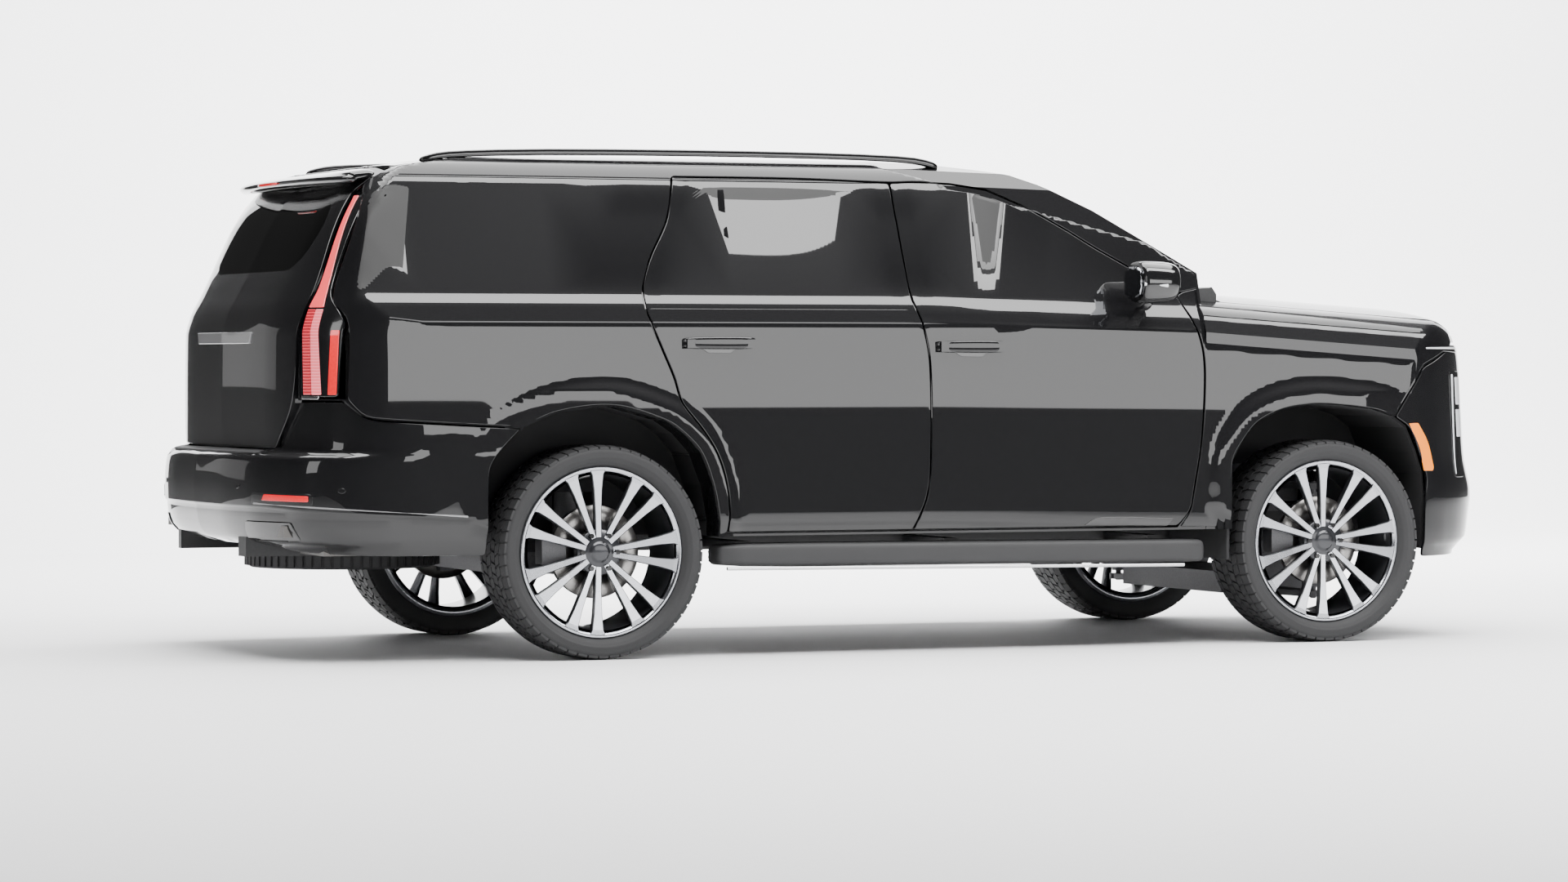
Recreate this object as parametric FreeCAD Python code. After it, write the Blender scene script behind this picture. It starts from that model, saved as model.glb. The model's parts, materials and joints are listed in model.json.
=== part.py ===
import FreeCAD, Part
import math
import os
os.makedirs("parts", exist_ok=True)

# Driving sizes in mm. Lengths along x are from the middle of the wheelbase, heights from the ground.
WHEELBASE = 3071.0
FRONT_OVERHANG = 914.5
REAR_OVERHANG = 1294.5
WHEEL_INSET = 142.0
TYRE_RADIUS = 401.0
TYRE_WIDTH = 284.0
RIM_RADIUS = 322.0
RIM_WALL = 22.0
RIM_DISH = 28.0
SPOKE_PAIRS = 7
DISC_RADIUS = 175.0
HALF_WIDTH = 1012.0
FLARE_OUT = 10.0
FLARE_STEP = 4.0
FLARE_WIDE = 60.0
BELT = 1372.0
SILL = 455.0
SKIN = 10.0
FRAME_THICK = 25.0
DOOR_WALL = 117.0
DOOR_LAP = 85.0
SHUT_GAP = 9.0
LID_GAP = 10.0
GATE_GAP = 12.0
GATE_LAP = 30.0
SEAL_GAP = 6.0
PLATE_DEPTH = 24.0
COWL_GAP = 18.0
GLASS = 5.0
GLASS_DEPTH = 9.0
HINGE_BACK = 60.0
HINGE_BACK_REAR = 75.0
POST_BACK = 5.0
POST_THICK = 60.0
HINGE_DEPTH = 14.0
LUG_RADIUS = 8.0
LID_PIN_DEPTH = 6.0
PIN_RADIUS = 5.0
FIT = 0.3
LINER = 12.0
WELL_DEPTH = 365.0
REAR_WELL_DEPTH = 170.0
RAIL_WIDE = 70.0
RAIL_INSET = 542.0
RAIL_BOTTOM = 385.0
FLOOR = 505.0
FLOOR_THICK = 18.0
CARGO_FLOOR = 745.0
FRONT_ARCH_REACH = 446.0
FIREWALL_TO_ARCH = 104.5
REAR_ARCH_BACK = -441.0
SPLIT = -203.0
CREASE_START = -300.0
CREASE_SLOPE = -0.0265
FENDER_FRONT_SLOPE = -0.07
CREASE_HEIGHT = 1262.0
HOOD_BACK = 145.0
HOOD_INSET = 167.0
HOOD_LIP = 1190.0
HOOD_THICK = 22.0
HOOD_HINGE_Y = 600.0
HOOD_PIN_BACK = 70.0
HOOD_PIN_Z = 1360.0
GATE_HINGE_Y = 450.0
SEAM_BACK = 547.0
KING_REACH = 215.0
STUD_RADIUS = 12.0
SPINDLE_RADIUS = 26.0
SPARE_RADIUS = 375.0
SPARE_BOTTOM = 325.0
SPARE_HEIGHT = 180.0
SPARE_BACK = 590.0
SPOILER_BACK = 290.0
ROOF_TOP = 1905.0
RAIL_RISE = 17.0
STEP_TOP = 430.0
ARM_THICK = 24.0
FLANGE = 12.0
BEAD_STEP = 17.0
JACK_PAD = 10.0
DRIVER_Y = 420.0
COLUMN_TILT = 25.0

V = FreeCAD.Vector
AXLE_F = WHEELBASE / 2
AXLE_R = -WHEELBASE / 2
NOSE = AXLE_F + FRONT_OVERHANG
TAIL = AXLE_R - REAR_OVERHANG
SHIFT = -(NOSE + TAIL) / 2
HALF_TRACK = HALF_WIDTH - WHEEL_INSET
WIDE = HALF_WIDTH + 400
FIREWALL = AXLE_F - FRONT_ARCH_REACH - FIREWALL_TO_ARCH
POST_REAR = FIREWALL + POST_BACK
POST_FRONT = POST_REAR + POST_THICK
HOOD_REAR = FIREWALL + HOOD_BACK
HOOD_HALF = HALF_WIDTH - HOOD_INSET
HOOD_PIN_X = HOOD_REAR - HOOD_PIN_BACK
ARCH_INNER = HALF_TRACK - WELL_DEPTH
REAR_ARCH_INNER = HALF_TRACK - REAR_WELL_DEPTH
RAIL_OUT = HALF_WIDTH - RAIL_INSET
RAIL_IN = RAIL_OUT - RAIL_WIDE
SEAM = TAIL + SEAM_BACK
SPOILER_TIP = TAIL + SPOILER_BACK
SPARE_X = TAIL + SPARE_BACK
RAIL_TOP = ROOF_TOP + RAIL_RISE
HINGE_Y = HALF_WIDTH - HINGE_DEPTH
HINGE_HEIGHTS = (760, 1040)
HINGE_F = FIREWALL - 11 - HINGE_BACK
HINGE_R = SPLIT - HINGE_BACK_REAR
BUMPER_REACH = AXLE_R + REAR_ARCH_BACK
ROOF_FRONT = FIREWALL - 633
LAMP_OUT = HALF_WIDTH - 22
LAMP_LOW_OUT = HALF_WIDTH - 87
RAIL_Y = HALF_WIDTH - 267
TOWER_Y = RAIL_OUT + 5
ROOT_Y = RAIL_OUT - 25
SPRING_Y = REAR_ARCH_INNER - 80
PIPE_OUT = HALF_WIDTH - 212
FRONT_SEAT_X = FIREWALL - 985
BACK_SEAT_X = AXLE_R - 264.5
REAR_FLOOR_X = AXLE_R + 385.5
TYRE_Z = TYRE_RADIUS


def face(points, place):
    ring = [place(a, b) for a, b in points]
    return Part.Face(Part.makePolygon(ring + ring[:1]))


def side_prism(points, y0, y1):
    flat = face(points, lambda x, z: V(x, y0, z))
    return flat.extrude(V(0, y1 - y0, 0))


def front_prism(points, x0, x1, slope=0.0):
    flat = face(points, lambda y, z: V(x0, y, z))
    return flat.extrude(V(x1 - x0, 0, (x1 - x0) * slope))


def plan_prism(points, z0, z1):
    flat = face(points, lambda x, y: V(x, y, z0))
    return flat.extrude(V(0, 0, z1 - z0))


def box(x0, x1, y0, y1, z0, z1):
    return Part.makeBox(x1 - x0, y1 - y0, z1 - z0, V(x0, y0, z0))


def rod(start, end, radius):
    a = V(*start)
    run = V(*end) - a
    return Part.makeCylinder(radius, run.Length, a, run)


def both(points):
    return points + [(-y, z) for y, z in reversed(points)]


def both_plan(points):
    return points + [(x, -y) for x, y in reversed(points)]


def meet(first, second):
    (ax, ay, ux, uy), (bx, by, vx, vy) = first, second
    cross = ux * vy - uy * vx
    if abs(cross) < 1e-6:
        return bx, by
    run = ((bx - ax) * vy - (by - ay) * vx) / cross
    return ax + run * ux, ay + run * uy


def grow(points, amount):
    """Move every edge of a closed outline outward by amount, dropping edges that vanish."""
    around = list(zip(points, points[1:] + points[:1]))
    turn = 1.0 if sum(a[0] * b[1] - b[0] * a[1] for a, b in around) > 0 else -1.0
    lines = []
    for (ax, ay), (bx, by) in around:
        length = math.hypot(bx - ax, by - ay)
        if length < 1e-6:
            continue
        ux, uy = (bx - ax) / length, (by - ay) / length
        lines.append((ax + turn * uy * amount, ay - turn * ux * amount, ux, uy))
    while True:
        corners = [meet(lines[i - 1], lines[i]) for i in range(len(lines))]
        runs = []
        for i, line in enumerate(lines):
            (ax, ay), (bx, by) = corners[i], corners[(i + 1) % len(lines)]
            runs.append((bx - ax) * line[2] + (by - ay) * line[3])
        shortest = min(range(len(lines)), key=lambda i: runs[i])
        if runs[shortest] > 0.01:
            return corners
        lines.pop(shortest)


def fuse(shapes):
    whole = shapes[0]
    if len(shapes) > 1:
        whole = shapes[0].multiFuse(shapes[1:])
    return whole.removeSplitter()


def mirrored(shape):
    return shape.mirror(V(0, 0, 0), V(0, 1, 0))


def pair(shape):
    return Part.makeCompound([shape, mirrored(shape)])


def cut(shape, tools):
    for tool in tools:
        if shape.BoundBox.intersect(tool.BoundBox):
            shape = shape.cut(tool)
    return shape


NODES = {}


def keep(name, shape, least=500.0):
    NODES[name] = Part.makeCompound([s for s in shape.Solids if s.Volume > least])


def past(origin, points):
    """Side-view points given from an upright line at origin."""
    return [(origin + x, z) for x, z in points]


def narrowed(points):
    """Front-view points given as distances in from the widest place, with their mirror images."""
    return both([(HALF_WIDTH - y, z) for y, z in points])


# Outlines.
PROFILE = (past(TAIL, [(130, SILL), (115, 800), (118, 1210), (180, BELT), (410, 1775), (500, 1838), (680,
                                                                                                     1866)])
           + past(AXLE_R, [(-164.5, ROOF_TOP - 13), (435.5, ROOF_TOP)])
           + past(FIREWALL, [(-1485, ROOF_TOP), (-1050, 1882), (-879, 1862), (-750, 1840), (-643, 1803),
                             (-425, 1704), (-185, 1568), (15, 1452), (125, 1402), (125, SILL)]))
SECTION = narrowed([(10, SILL), (0, 900), (7, CREASE_HEIGHT), (24, 1310), (54, BELT), (180, 1800), (237,
                                                                                                    1858),
                    (362, 1888), (HALF_WIDTH, ROOF_TOP + 10)])
PLAN = both_plan([(TAIL + 112, 0), (TAIL + 130, 500), (TAIL + 190, HALF_WIDTH - 212), (TAIL + 270,
                                                                                       HALF_WIDTH - 72),
                  (TAIL + 430, HALF_WIDTH - 12), (TAIL + 830, HALF_WIDTH + 3), (FIREWALL + 135, HALF_WIDTH
                                                                                + 3),
                  (FIREWALL + 135, 0)])[:-1]
REAR_LEAN = [(18, 0), (18, SILL), (3, 800), (6, 1210), (68, BELT), (298, 1775), (388, 1838), (568, 1866),
             (568, 2100)]
FRONT_SECTION = narrowed([(10, 300), (0, 900), (7, CREASE_HEIGHT - 34), (26, 1276), (62, 1318), (112, 1340),
                          (162, 1354), (412, 1395), (HALF_WIDTH, 1420)])
FRONT_PLAN = both_plan([(FIREWALL - 100, HALF_WIDTH + 3), (NOSE - 550, HALF_WIDTH + 3),
                        (NOSE - 460, HALF_WIDTH - 6), (NOSE - 330, HALF_WIDTH - 52), (NOSE - 210,
                                                                                      HALF_WIDTH - 142),
                        (NOSE - 123, HALF_WIDTH - 262), (NOSE - 85, HALF_WIDTH - 332), (NOSE - 30, 480),
                        (NOSE - 6, 250), (NOSE, 0)])
FRONT_LEAN = [(-80, 0), (-80, 355), (-25, 400), (-10, 482), (0, 573), (-30, 726), (-45, 930), (-60, 1129),
              (-90, 1215), (-160, 1275), (-390, 1330), (-390, 2100)]
FRONT_PROFILE = ([(FIREWALL, 300)] + past(NOSE, [(-505, 330), (-350, 314)]) + past(NOSE, FRONT_LEAN[1:-1])
                 + past(NOSE, [(-750, 1380)]) + past(FIREWALL, [(125, 1402), (0, 1402)]))
OPEN_PROFILE = [(FIREWALL - 100, 100), (NOSE, 100)] + FRONT_PROFILE[7:-2] + [(FIREWALL - 100, 1402)]
FRONT_ARCH = [(-FRONT_ARCH_REACH, 300), (-444, 721), (-390, 818), (-334, 877), (-222, 926), (-78, 945),
              (58, 938),
              (194, 922), (286, 894), (354, 849), (400, 754), (436, 664), (440, 560), (440, 300)]
REAR_ARCH = [(REAR_ARCH_BACK, 300), (REAR_ARCH_BACK, 723), (-392, 804), (-340, 862), (-189, 926), (32, 948),
             (238, 892), (315, 841), (381, 770), (430, 647), (455, 514), (455, 300)]
DOOR_SPLIT = past(SPLIT, [(-71, SILL + 13), (-48, 514), (-14, 597), (0, 700), (-3, 1105), (-31, 1260),
                          (-60, 1353), (-97, 1802)])
FRONT_DOOR = (DOOR_SPLIT + [(SPLIT + 21, 1806)]
              + past(FIREWALL, [(-1024, 1800), (-874, 1779), (-734, 1722), (-559, 1630), (-441, 1560),
                                (-285, 1475),
                                (-194, 1420), (-105, 1380), (-45, 1253), (-15, 1147), (-11, 998), (-26, 786),
                                (-56, 606), (-73, 531), (-127, SILL + 13)]))
REAR_DOOR = (DOOR_SPLIT + [(SPLIT - 497, 1812)]
             + past(AXLE_R, [(340.5, 1812), (300.5, 1650), (215.5, 1500), (175.5, 1388), (181.5, 1287),
                             (229.5, 1166), (278.5, 1054), (311.5, 958), (387.5, 861), (436.5, 789),
                             (469.5, 718),
                             (489.5, 636), (497.5, 554), (491.5, SILL + 13)]))
FRONT_WINDOW = (past(SPLIT, [(23, BELT + 4), (-29, 1772), (21, 1774)])
                + past(FIREWALL, [(-1024, 1765), (-874, 1744), (-734, 1688), (-559, 1596), (-441, 1526),
                                  (-335, 1466), (-255, 1400), (-240, BELT - 4)]))
REAR_WINDOW = (past(SPLIT, [(-137, BELT + 4), (-169, 1772), (-497, 1780)])
               + past(AXLE_R, [(405.5, 1780), (345.5, 1640), (265.5, 1490), (235.5, BELT + 4)]))
QUARTER_WINDOW = (past(TAIL, [(350, BELT + 6), (450, 1745), (521, 1760)])
                  + past(AXLE_R, [(135.5, 1775), (55.5, 1640), (-24.5, 1480), (-74.5, BELT + 6)]))
GATE = narrowed([(392, 790), (277, 960), (247, 1250), (247, BELT), (340, 1745), (312, 1778), (222, 1790),
                 (222, 1900)])
GATE_WINDOW = narrowed([(322, BELT + 20), (412, 1735)])
PLATE_POCKET = narrowed([(527, 977), (662, 1207)])
LAMP = [(HALF_WIDTH - y, z) for y, z in ((242, 975), (242, 1380), (317, 1700), (317, 1735), (222, 1735),
                                         (212, 1700), (112, 1380), (7, 1255), (7, 975))]


def leaning(points, lean):
    """A plan outline carried up along a leaning line of (shift, height) points."""
    bands = []
    for (x0, z0), (x1, z1) in zip(lean, lean[1:]):
        flat = face(points, lambda x, y: V(x + x0, y, z0))
        bands.append(flat.extrude(V(x1 - x0, 0, z1 - z0)))
    return bands[0].multiFuse(bands[1:])


def outer(inset):
    ring = grow(SECTION, -inset) if inset else SECTION
    body = side_prism(grow(PROFILE, -inset) if inset else PROFILE, -WIDE, WIDE)
    level = front_prism(ring, TAIL - 10, CREASE_START)
    falling = front_prism(ring, CREASE_START, FIREWALL + 215, CREASE_SLOPE)
    plan = leaning(grow(PLAN, -inset) if inset else PLAN, REAR_LEAN)
    return body.common(level.fuse(falling)).common(plan)


def nose(inset, profile=FRONT_PROFILE):
    body = side_prism(grow(profile, -inset) if inset else profile, -WIDE, WIDE)
    ring = grow(FRONT_SECTION, -inset) if inset else FRONT_SECTION
    lead = FIREWALL - 100
    width = front_prism([(y, z - FENDER_FRONT_SLOPE * 100) for y, z in ring], lead, NOSE + 10,
                        FENDER_FRONT_SLOPE)
    plan = leaning(grow(FRONT_PLAN, -inset) if inset else FRONT_PLAN, FRONT_LEAN)
    return body.common(width).common(plan)


E0 = outer(0)
E_SKIN = outer(SKIN)
E_FRAME = outer(FRAME_THICK)
E_GLASS = outer(GLASS_DEPTH)
E_GLASS_IN = outer(GLASS_DEPTH + GLASS)
WALL_Y = HALF_WIDTH - DOOR_WALL
CABIN_SECTION = both([(WALL_Y, 0), (WALL_Y, BELT - 30), (WALL_Y + 15, BELT), (HALF_WIDTH - 227, 1790),
                      (HALF_WIDTH - 277, 1822), (HALF_WIDTH - 372, 1848), (0, 1872)])
CABIN_SIDE = past(TAIL, [(215, 0), (215, 1210), (245, BELT), (460, 1745), (540, 1800)]) + past(FIREWALL, [
    (165, 2300), (165, 0)])
WELL = box(TAIL + 215, FIREWALL + 10, -WALL_Y, WALL_Y, 0, 600)
CABIN = front_prism(CABIN_SECTION, TAIL, FIREWALL + 215).common(side_prism(CABIN_SIDE, -WIDE, WIDE))
CABIN = CABIN.common(outer(FRAME_THICK + SEAL_GAP + 10).fuse(WELL))
SHELL = E0.cut(CABIN)
SIDE = front_prism([(-WIDE, 300), (-WIDE, 2100), (-760, 2100), (-760, 300)], TAIL - 10, FIREWALL)


def door(outline, window, hinge_x):
    skin = E0.cut(E_SKIN).common(side_prism(grow(outline, -SHUT_GAP / 2), -WIDE, -500))
    deep = E_SKIN.cut(CABIN).common(side_prism(grow(outline, -DOOR_LAP), -WIDE, -500))
    deep = deep.common(box(-3000, 3000, -WIDE, 0, 0, BELT))
    top = E_SKIN.cut(E_FRAME).common(side_prism(grow(outline, -SHUT_GAP / 2 - 3), -WIDE, -500))
    top = top.common(box(-3000, 3000, -WIDE, 0, BELT - 60, 2000))
    whole = fuse([skin, deep, top]).cut(side_prism(window, -WIDE, -500))
    lugs = []
    for z in HINGE_HEIGHTS:
        whole = whole.cut(rod((hinge_x, -HINGE_Y, z - 36), (hinge_x, -HINGE_Y, z + 36), LUG_RADIUS + 1))
    for z in HINGE_HEIGHTS:
        for low in (z - 30, z + 14):
            lug = rod((hinge_x, -HINGE_Y, low), (hinge_x, -HINGE_Y, low + 16), LUG_RADIUS)
            arm = box(hinge_x - 60, hinge_x, -HINGE_Y, -HINGE_Y + 12, low, low + 16)
            hole = rod((hinge_x, -HINGE_Y, low - 1), (hinge_x, -HINGE_Y, low + 17), PIN_RADIUS + FIT)
            lugs.append(lug.fuse(arm).cut(hole))
    return fuse([whole] + lugs)


def handle(x0, x1, z0, z1):
    grip = box(x0, x1, -HALF_WIDTH - 28, -HALF_WIDTH - 14, z0 + 22, z1 - 10)
    feet = [box(a, a + 30, -HALF_WIDTH - 15, -HALF_WIDTH + 9, z0 + 22, z1 - 10) for a in (x0, x1 - 30)]
    return fuse([grip] + feet)



def hinge_fixed(hinge_x, post_x):
    parts = []
    for z in HINGE_HEIGHTS:
        parts.append(rod((hinge_x, -HINGE_Y, z - 34), (hinge_x, -HINGE_Y, z + 34), PIN_RADIUS))
        parts.append(rod((hinge_x, -HINGE_Y, z - 13.7), (hinge_x, -HINGE_Y, z + 13.7), LUG_RADIUS - 1))
        parts.append(box(hinge_x - 7, hinge_x + 1, -HINGE_Y, -HINGE_Y + 99, z - 13.7, z + 13.7))
        parts.append(box(hinge_x - 7, post_x, -HINGE_Y + 83, -HINGE_Y + 99, z - 13.7, z + 13.7))
    return parts


front_grip = handle(SPLIT + 32, SPLIT + 307, 1128, 1200)
rear_grip = handle(AXLE_R + 321.5, AXLE_R + 597.5, 1141, 1206)
front_door = door(FRONT_DOOR, FRONT_WINDOW, HINGE_F).fuse(front_grip)
rear_door = door(REAR_DOOR, REAR_WINDOW, HINGE_R).fuse(rear_grip)
PANE = E_GLASS.cut(E_GLASS_IN)
front_pane = PANE.common(side_prism(FRONT_WINDOW, -WIDE, -500))
rear_pane = PANE.common(side_prism(REAR_WINDOW, -WIDE, -500))
for side, turn in (("right", lambda s: s), ("left", mirrored)):
    keep("door_front_" + side, turn(front_door))
    keep("door_rear_" + side, turn(rear_door))
    keep("glass_front_" + side, turn(front_pane))
    keep("glass_rear_" + side, turn(rear_pane))

front_arch = past(AXLE_F, FRONT_ARCH)
rear_arch = past(AXLE_R, REAR_ARCH)


def flare(arch, zone):
    """A stepped band that stands out round an arch, within a zone seen from the side."""
    wide = side_prism(grow(arch, FLARE_WIDE), -HALF_WIDTH - FLARE_STEP, -HALF_WIDTH + 14)
    near = side_prism(grow(arch, FLARE_WIDE / 2), -HALF_WIDTH - FLARE_OUT, -HALF_WIDTH + 14)
    band = wide.fuse(near).cut(side_prism(arch, -WIDE, 0))
    return band.common(side_prism(zone, -WIDE, 0))


# Body side ring.
BUMPER_EDGE = past(TAIL, [(305, 969), (362, 915), (414, 900)]) + [(BUMPER_REACH + 120, 867)]
REAR_FLARE_ZONE = BUMPER_EDGE + [(BUMPER_REACH + 120, 800), (AXLE_R + 400, SILL), (AXLE_R + 600, SILL),
                                 (AXLE_R + 600, 1100), (TAIL + 305, 1100)]
ring = SHELL.common(SIDE).fuse(flare(rear_arch, REAR_FLARE_ZONE))
for outline in (FRONT_DOOR, REAR_DOOR):
    near = side_prism(grow(outline, SHUT_GAP / 2), -WIDE, -500)
    ring = ring.cut(near.cut(outer(FRAME_THICK + SEAL_GAP)))
inner_front = [(SPLIT + 65, SILL + 80), (SPLIT + 65, 1700)] + past(
    FIREWALL, [(-875, 1700), (-425, 1500), (-205, 1410), (-80, 1385), (3, 1330), (3, SILL + 80)])
inner_rear = past(AXLE_R, [(535.5, SILL + 80), (535.5, 760), (245.5, 1250), (245.5, BELT), (405.5,
                                                                                            1700)]) + past(
    SPLIT, [(-147, 1700), (-147, 1400), (11, 1350), (11, SILL + 80)])
ring = ring.cut(side_prism(inner_front, -WIDE, -500)).cut(side_prism(inner_rear, -WIDE, -500))
for outline in (FRONT_DOOR, REAR_DOOR):
    behind = side_prism(grow(outline, -DOOR_LAP + SHUT_GAP + 2), -WIDE, -500)
    ring = ring.cut(behind.common(box(-3000, 3000, -WIDE, 0, 0, BELT + SHUT_GAP)))
ring = ring.cut(side_prism(QUARTER_WINDOW, -WIDE, -500))
ring = ring.cut(side_prism(rear_arch, -WIDE, -500))
ring = ring.cut(side_prism([(TAIL - 50, 200), (TAIL - 50, 972)] + BUMPER_EDGE + [
    (BUMPER_REACH, 700), (BUMPER_REACH, 200)], -WIDE, -500))
ring = ring.cut(box(HINGE_R - 10, HINGE_R + 75, -HALF_WIDTH + 10, -HALF_WIDTH + 80, SILL + 10, SILL + 80))
gate_zone = front_prism(grow(GATE, GATE_GAP), TAIL - 50, SEAM + LID_GAP)
lamp_zone = front_prism([(-y, z) for y, z in LAMP], TAIL - 50, TAIL + 390)
LAMP_BODY = E0.cut(outer(60)).common(lamp_zone)
ring = cut(ring, [gate_zone, LAMP_BODY])
post = [box(FIREWALL - 10, POST_FRONT, -HALF_WIDTH + 27, -WALL_Y, SILL, SILL + 75),
        box(POST_REAR, POST_FRONT, -HALF_WIDTH + 27, -WALL_Y, SILL + 75, 1230),
        box(FIREWALL - 40, POST_FRONT, -HALF_WIDTH + 77, -WALL_Y, 1230, 1320)]
ring = fuse([ring] + post + hinge_fixed(HINGE_F, POST_REAR + 5) + hinge_fixed(HINGE_R, HINGE_R + 108))
keep("body_side_right", ring)
keep("body_side_left", mirrored(ring))
keep("tail_lamps", pair(LAMP_BODY.cut(gate_zone)))

def roof_height(x):
    for (ax, az), (bx, bz) in zip(PROFILE, PROFILE[1:]):
        if az > 1700 and ax <= x <= bx:
            return az + (bz - az) * (x - ax) / (bx - ax)
    return max(z for _, z in PROFILE)


GATE_PIN_Z = roof_height(SEAM) - LID_PIN_DEPTH
# Roof, windscreen and fixed side glass.
roof = SHELL.common(box(SEAM + LID_GAP, ROOF_FRONT, -HALF_WIDTH + 252, HALF_WIDTH - 252, 1600, 2100))
for y in (-GATE_HINGE_Y, GATE_HINGE_Y):
    roof = roof.fuse(box(SEAM - 4, SEAM + LID_GAP + 4, y - 10, y + 10, GATE_PIN_Z - 6, GATE_PIN_Z + 4))
    roof = roof.fuse(rod((SEAM, y - 25, GATE_PIN_Z), (SEAM, y + 25, GATE_PIN_Z), PIN_RADIUS))
keep("roof_panel", roof)
screen = E0.cut(outer(6)).common(front_prism(narrowed([(212, 1412), (352, 1800)]), ROOF_FRONT, FIREWALL
                                             + 127))
screen = cut(screen, [ring, mirrored(ring)])
quarter = cut(PANE.common(side_prism(QUARTER_WINDOW, -WIDE, -500)), [gate_zone, LAMP_BODY])
keep("fixed_glass", Part.makeCompound([screen, quarter, mirrored(quarter)]))

# Tailgate and spoiler, turning about pins just under the roof skin.
gate = E0.cut(E_FRAME).common(front_prism(GATE, TAIL - 50, SEAM - LID_GAP))
gate = gate.fuse(E_FRAME.cut(CABIN).common(front_prism(grow(GATE, -GATE_LAP), TAIL - 50,
                                                       SEAM - LID_GAP - 30)))
gate = gate.cut(front_prism(GATE_WINDOW, TAIL - 50, SEAM - 17))
gate = gate.cut(front_prism(PLATE_POCKET, TAIL - 50, TAIL + 117 + PLATE_DEPTH))
for y in (-GATE_HINGE_Y, GATE_HINGE_Y):
    for y0, y1 in ((y - 24, y - 10 - FIT), (y + 10 + FIT, y + 24)):
        eye = rod((SEAM, y0, GATE_PIN_Z), (SEAM, y1, GATE_PIN_Z), PIN_RADIUS + 3)
        eye = eye.fuse(box(SEAM - LID_GAP - 4, SEAM, y0, y1, GATE_PIN_Z - 8, GATE_PIN_Z + 4))
        gate = gate.fuse(eye.cut(rod((SEAM, y0 - 1, GATE_PIN_Z), (SEAM, y1 + 1, GATE_PIN_Z), PIN_RADIUS
                                     + FIT)))
keep("tailgate", gate)
keep("tailgate_glass", PANE.common(front_prism(GATE_WINDOW, TAIL - 50, SEAM - 17)))
wing = side_prism(past(TAIL, [(505, 1800), (505, 1842), (400, 1822)]) + past(SPOILER_TIP, [
    (0, 1802), (4, 1778), (110, 1768), (140, 1770)]), -HALF_WIDTH, HALF_WIDTH)
wing = wing.common(plan_prism(both_plan(past(SPOILER_TIP, [(0, 0), (18, 350), (65, HALF_WIDTH - 372), (
    100, HALF_WIDTH - 312), (215, HALF_WIDTH - 312)])), 1700, 1900))
keep("spoiler", wing.cut(E0))

# Front end.
AHEAD = box(FIREWALL, NOSE + 10, -WIDE, WIDE, 0, 2000)
N0 = nose(0).common(AHEAD)
N_OPEN = nose(0, OPEN_PROFILE).common(AHEAD)
N_SKIN = nose(12, OPEN_PROFILE)
hood_zone = box(HOOD_REAR, NOSE + 10, -HOOD_HALF, HOOD_HALF, HOOD_LIP, 1500)
hood = N_OPEN.cut(nose(HOOD_THICK, OPEN_PROFILE)).common(hood_zone)
eyes = []
slots = []
pins = []
for y in (-HOOD_HINGE_Y, HOOD_HINGE_Y):
    bar = box(HOOD_PIN_X, HOOD_REAR + 30, y - 7, y + 7, HOOD_PIN_Z - 9, HOOD_PIN_Z + 9)
    bar = bar.fuse(rod((HOOD_PIN_X, y - 7, HOOD_PIN_Z), (HOOD_PIN_X, y + 7, HOOD_PIN_Z), 11))
    eyes.append(bar.cut(rod((HOOD_PIN_X, y - 8, HOOD_PIN_Z), (HOOD_PIN_X, y + 8, HOOD_PIN_Z), PIN_RADIUS
                            + FIT)))
    slots.append(box(HOOD_PIN_X - 20, HOOD_REAR, y - 15, y + 15, 1300, 1450))
    pins.append(rod((HOOD_PIN_X, y - 17, HOOD_PIN_Z), (HOOD_PIN_X, y + 17, HOOD_PIN_Z), PIN_RADIUS))
hood = fuse([hood] + eyes)
keep("hood", hood)
cowl = side_prism([(FIREWALL, 1330), (FIREWALL, 1400), (FIREWALL + 95, 1404), (FIREWALL + 107, 1408),
                   (HOOD_REAR - COWL_GAP, 1380), (HOOD_REAR - COWL_GAP, 1330)], -HOOD_HALF, HOOD_HALF)
cowl = fuse([cut(cowl, slots + [screen])] + pins).cut(N_OPEN.common(box(0, NOSE, -WIDE, -HOOD_HALF, 0,
                                                                        2000)))
FENDER_CUT = [(FIREWALL, SILL), (FIREWALL, 1500), (NOSE - 280, 1500), (NOSE - 280, 1180), (NOSE - 485, 1096),
              (NOSE - 630, 893), (NOSE - 630, SILL)]
FENDER_ZONE = [(FIREWALL, 200)] + FENDER_CUT[1:-1] + [(NOSE - 630, 200)]
fender = N_OPEN.cut(N_SKIN).common(side_prism(FENDER_CUT, -WIDE, -HOOD_HALF - SHUT_GAP))
fender = fender.fuse(flare(front_arch, FENDER_CUT).common(N_OPEN.fuse(box(FIREWALL + 8, NOSE - 400, -WIDE,
                                                                          -900, SILL, 1100))))
fender = cut(fender, [side_prism(front_arch, -WIDE, -500), ring])
keep("front_fenders", pair(fender))
front_skin = N0.cut(nose(40)).cut(side_prism(FENDER_ZONE, -WIDE, -700)).cut(side_prism(FENDER_ZONE, 700,
                                                                                       WIDE))
front_skin = front_skin.common(box(NOSE - 640, NOSE + 10, -WIDE, WIDE, 290, HOOD_LIP - LID_GAP))
front_skin = front_skin.cut(side_prism(front_arch, -WIDE, WIDE))
grille_zone = front_prism(both([(520, 560), (600, 1120)]), NOSE - 400, NOSE + 10)
lamp_top = front_prism([(605, 1095), (605, 1180), (LAMP_OUT, 1180), (LAMP_OUT, 1095)], NOSE - 480, NOSE + 10)
lamp_low = front_prism([(LAMP_LOW_OUT - 125, 650), (LAMP_LOW_OUT - 125, 1070), (LAMP_LOW_OUT, 1070),
                        (LAMP_LOW_OUT, 650)], NOSE - 480, NOSE + 10)
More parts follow.
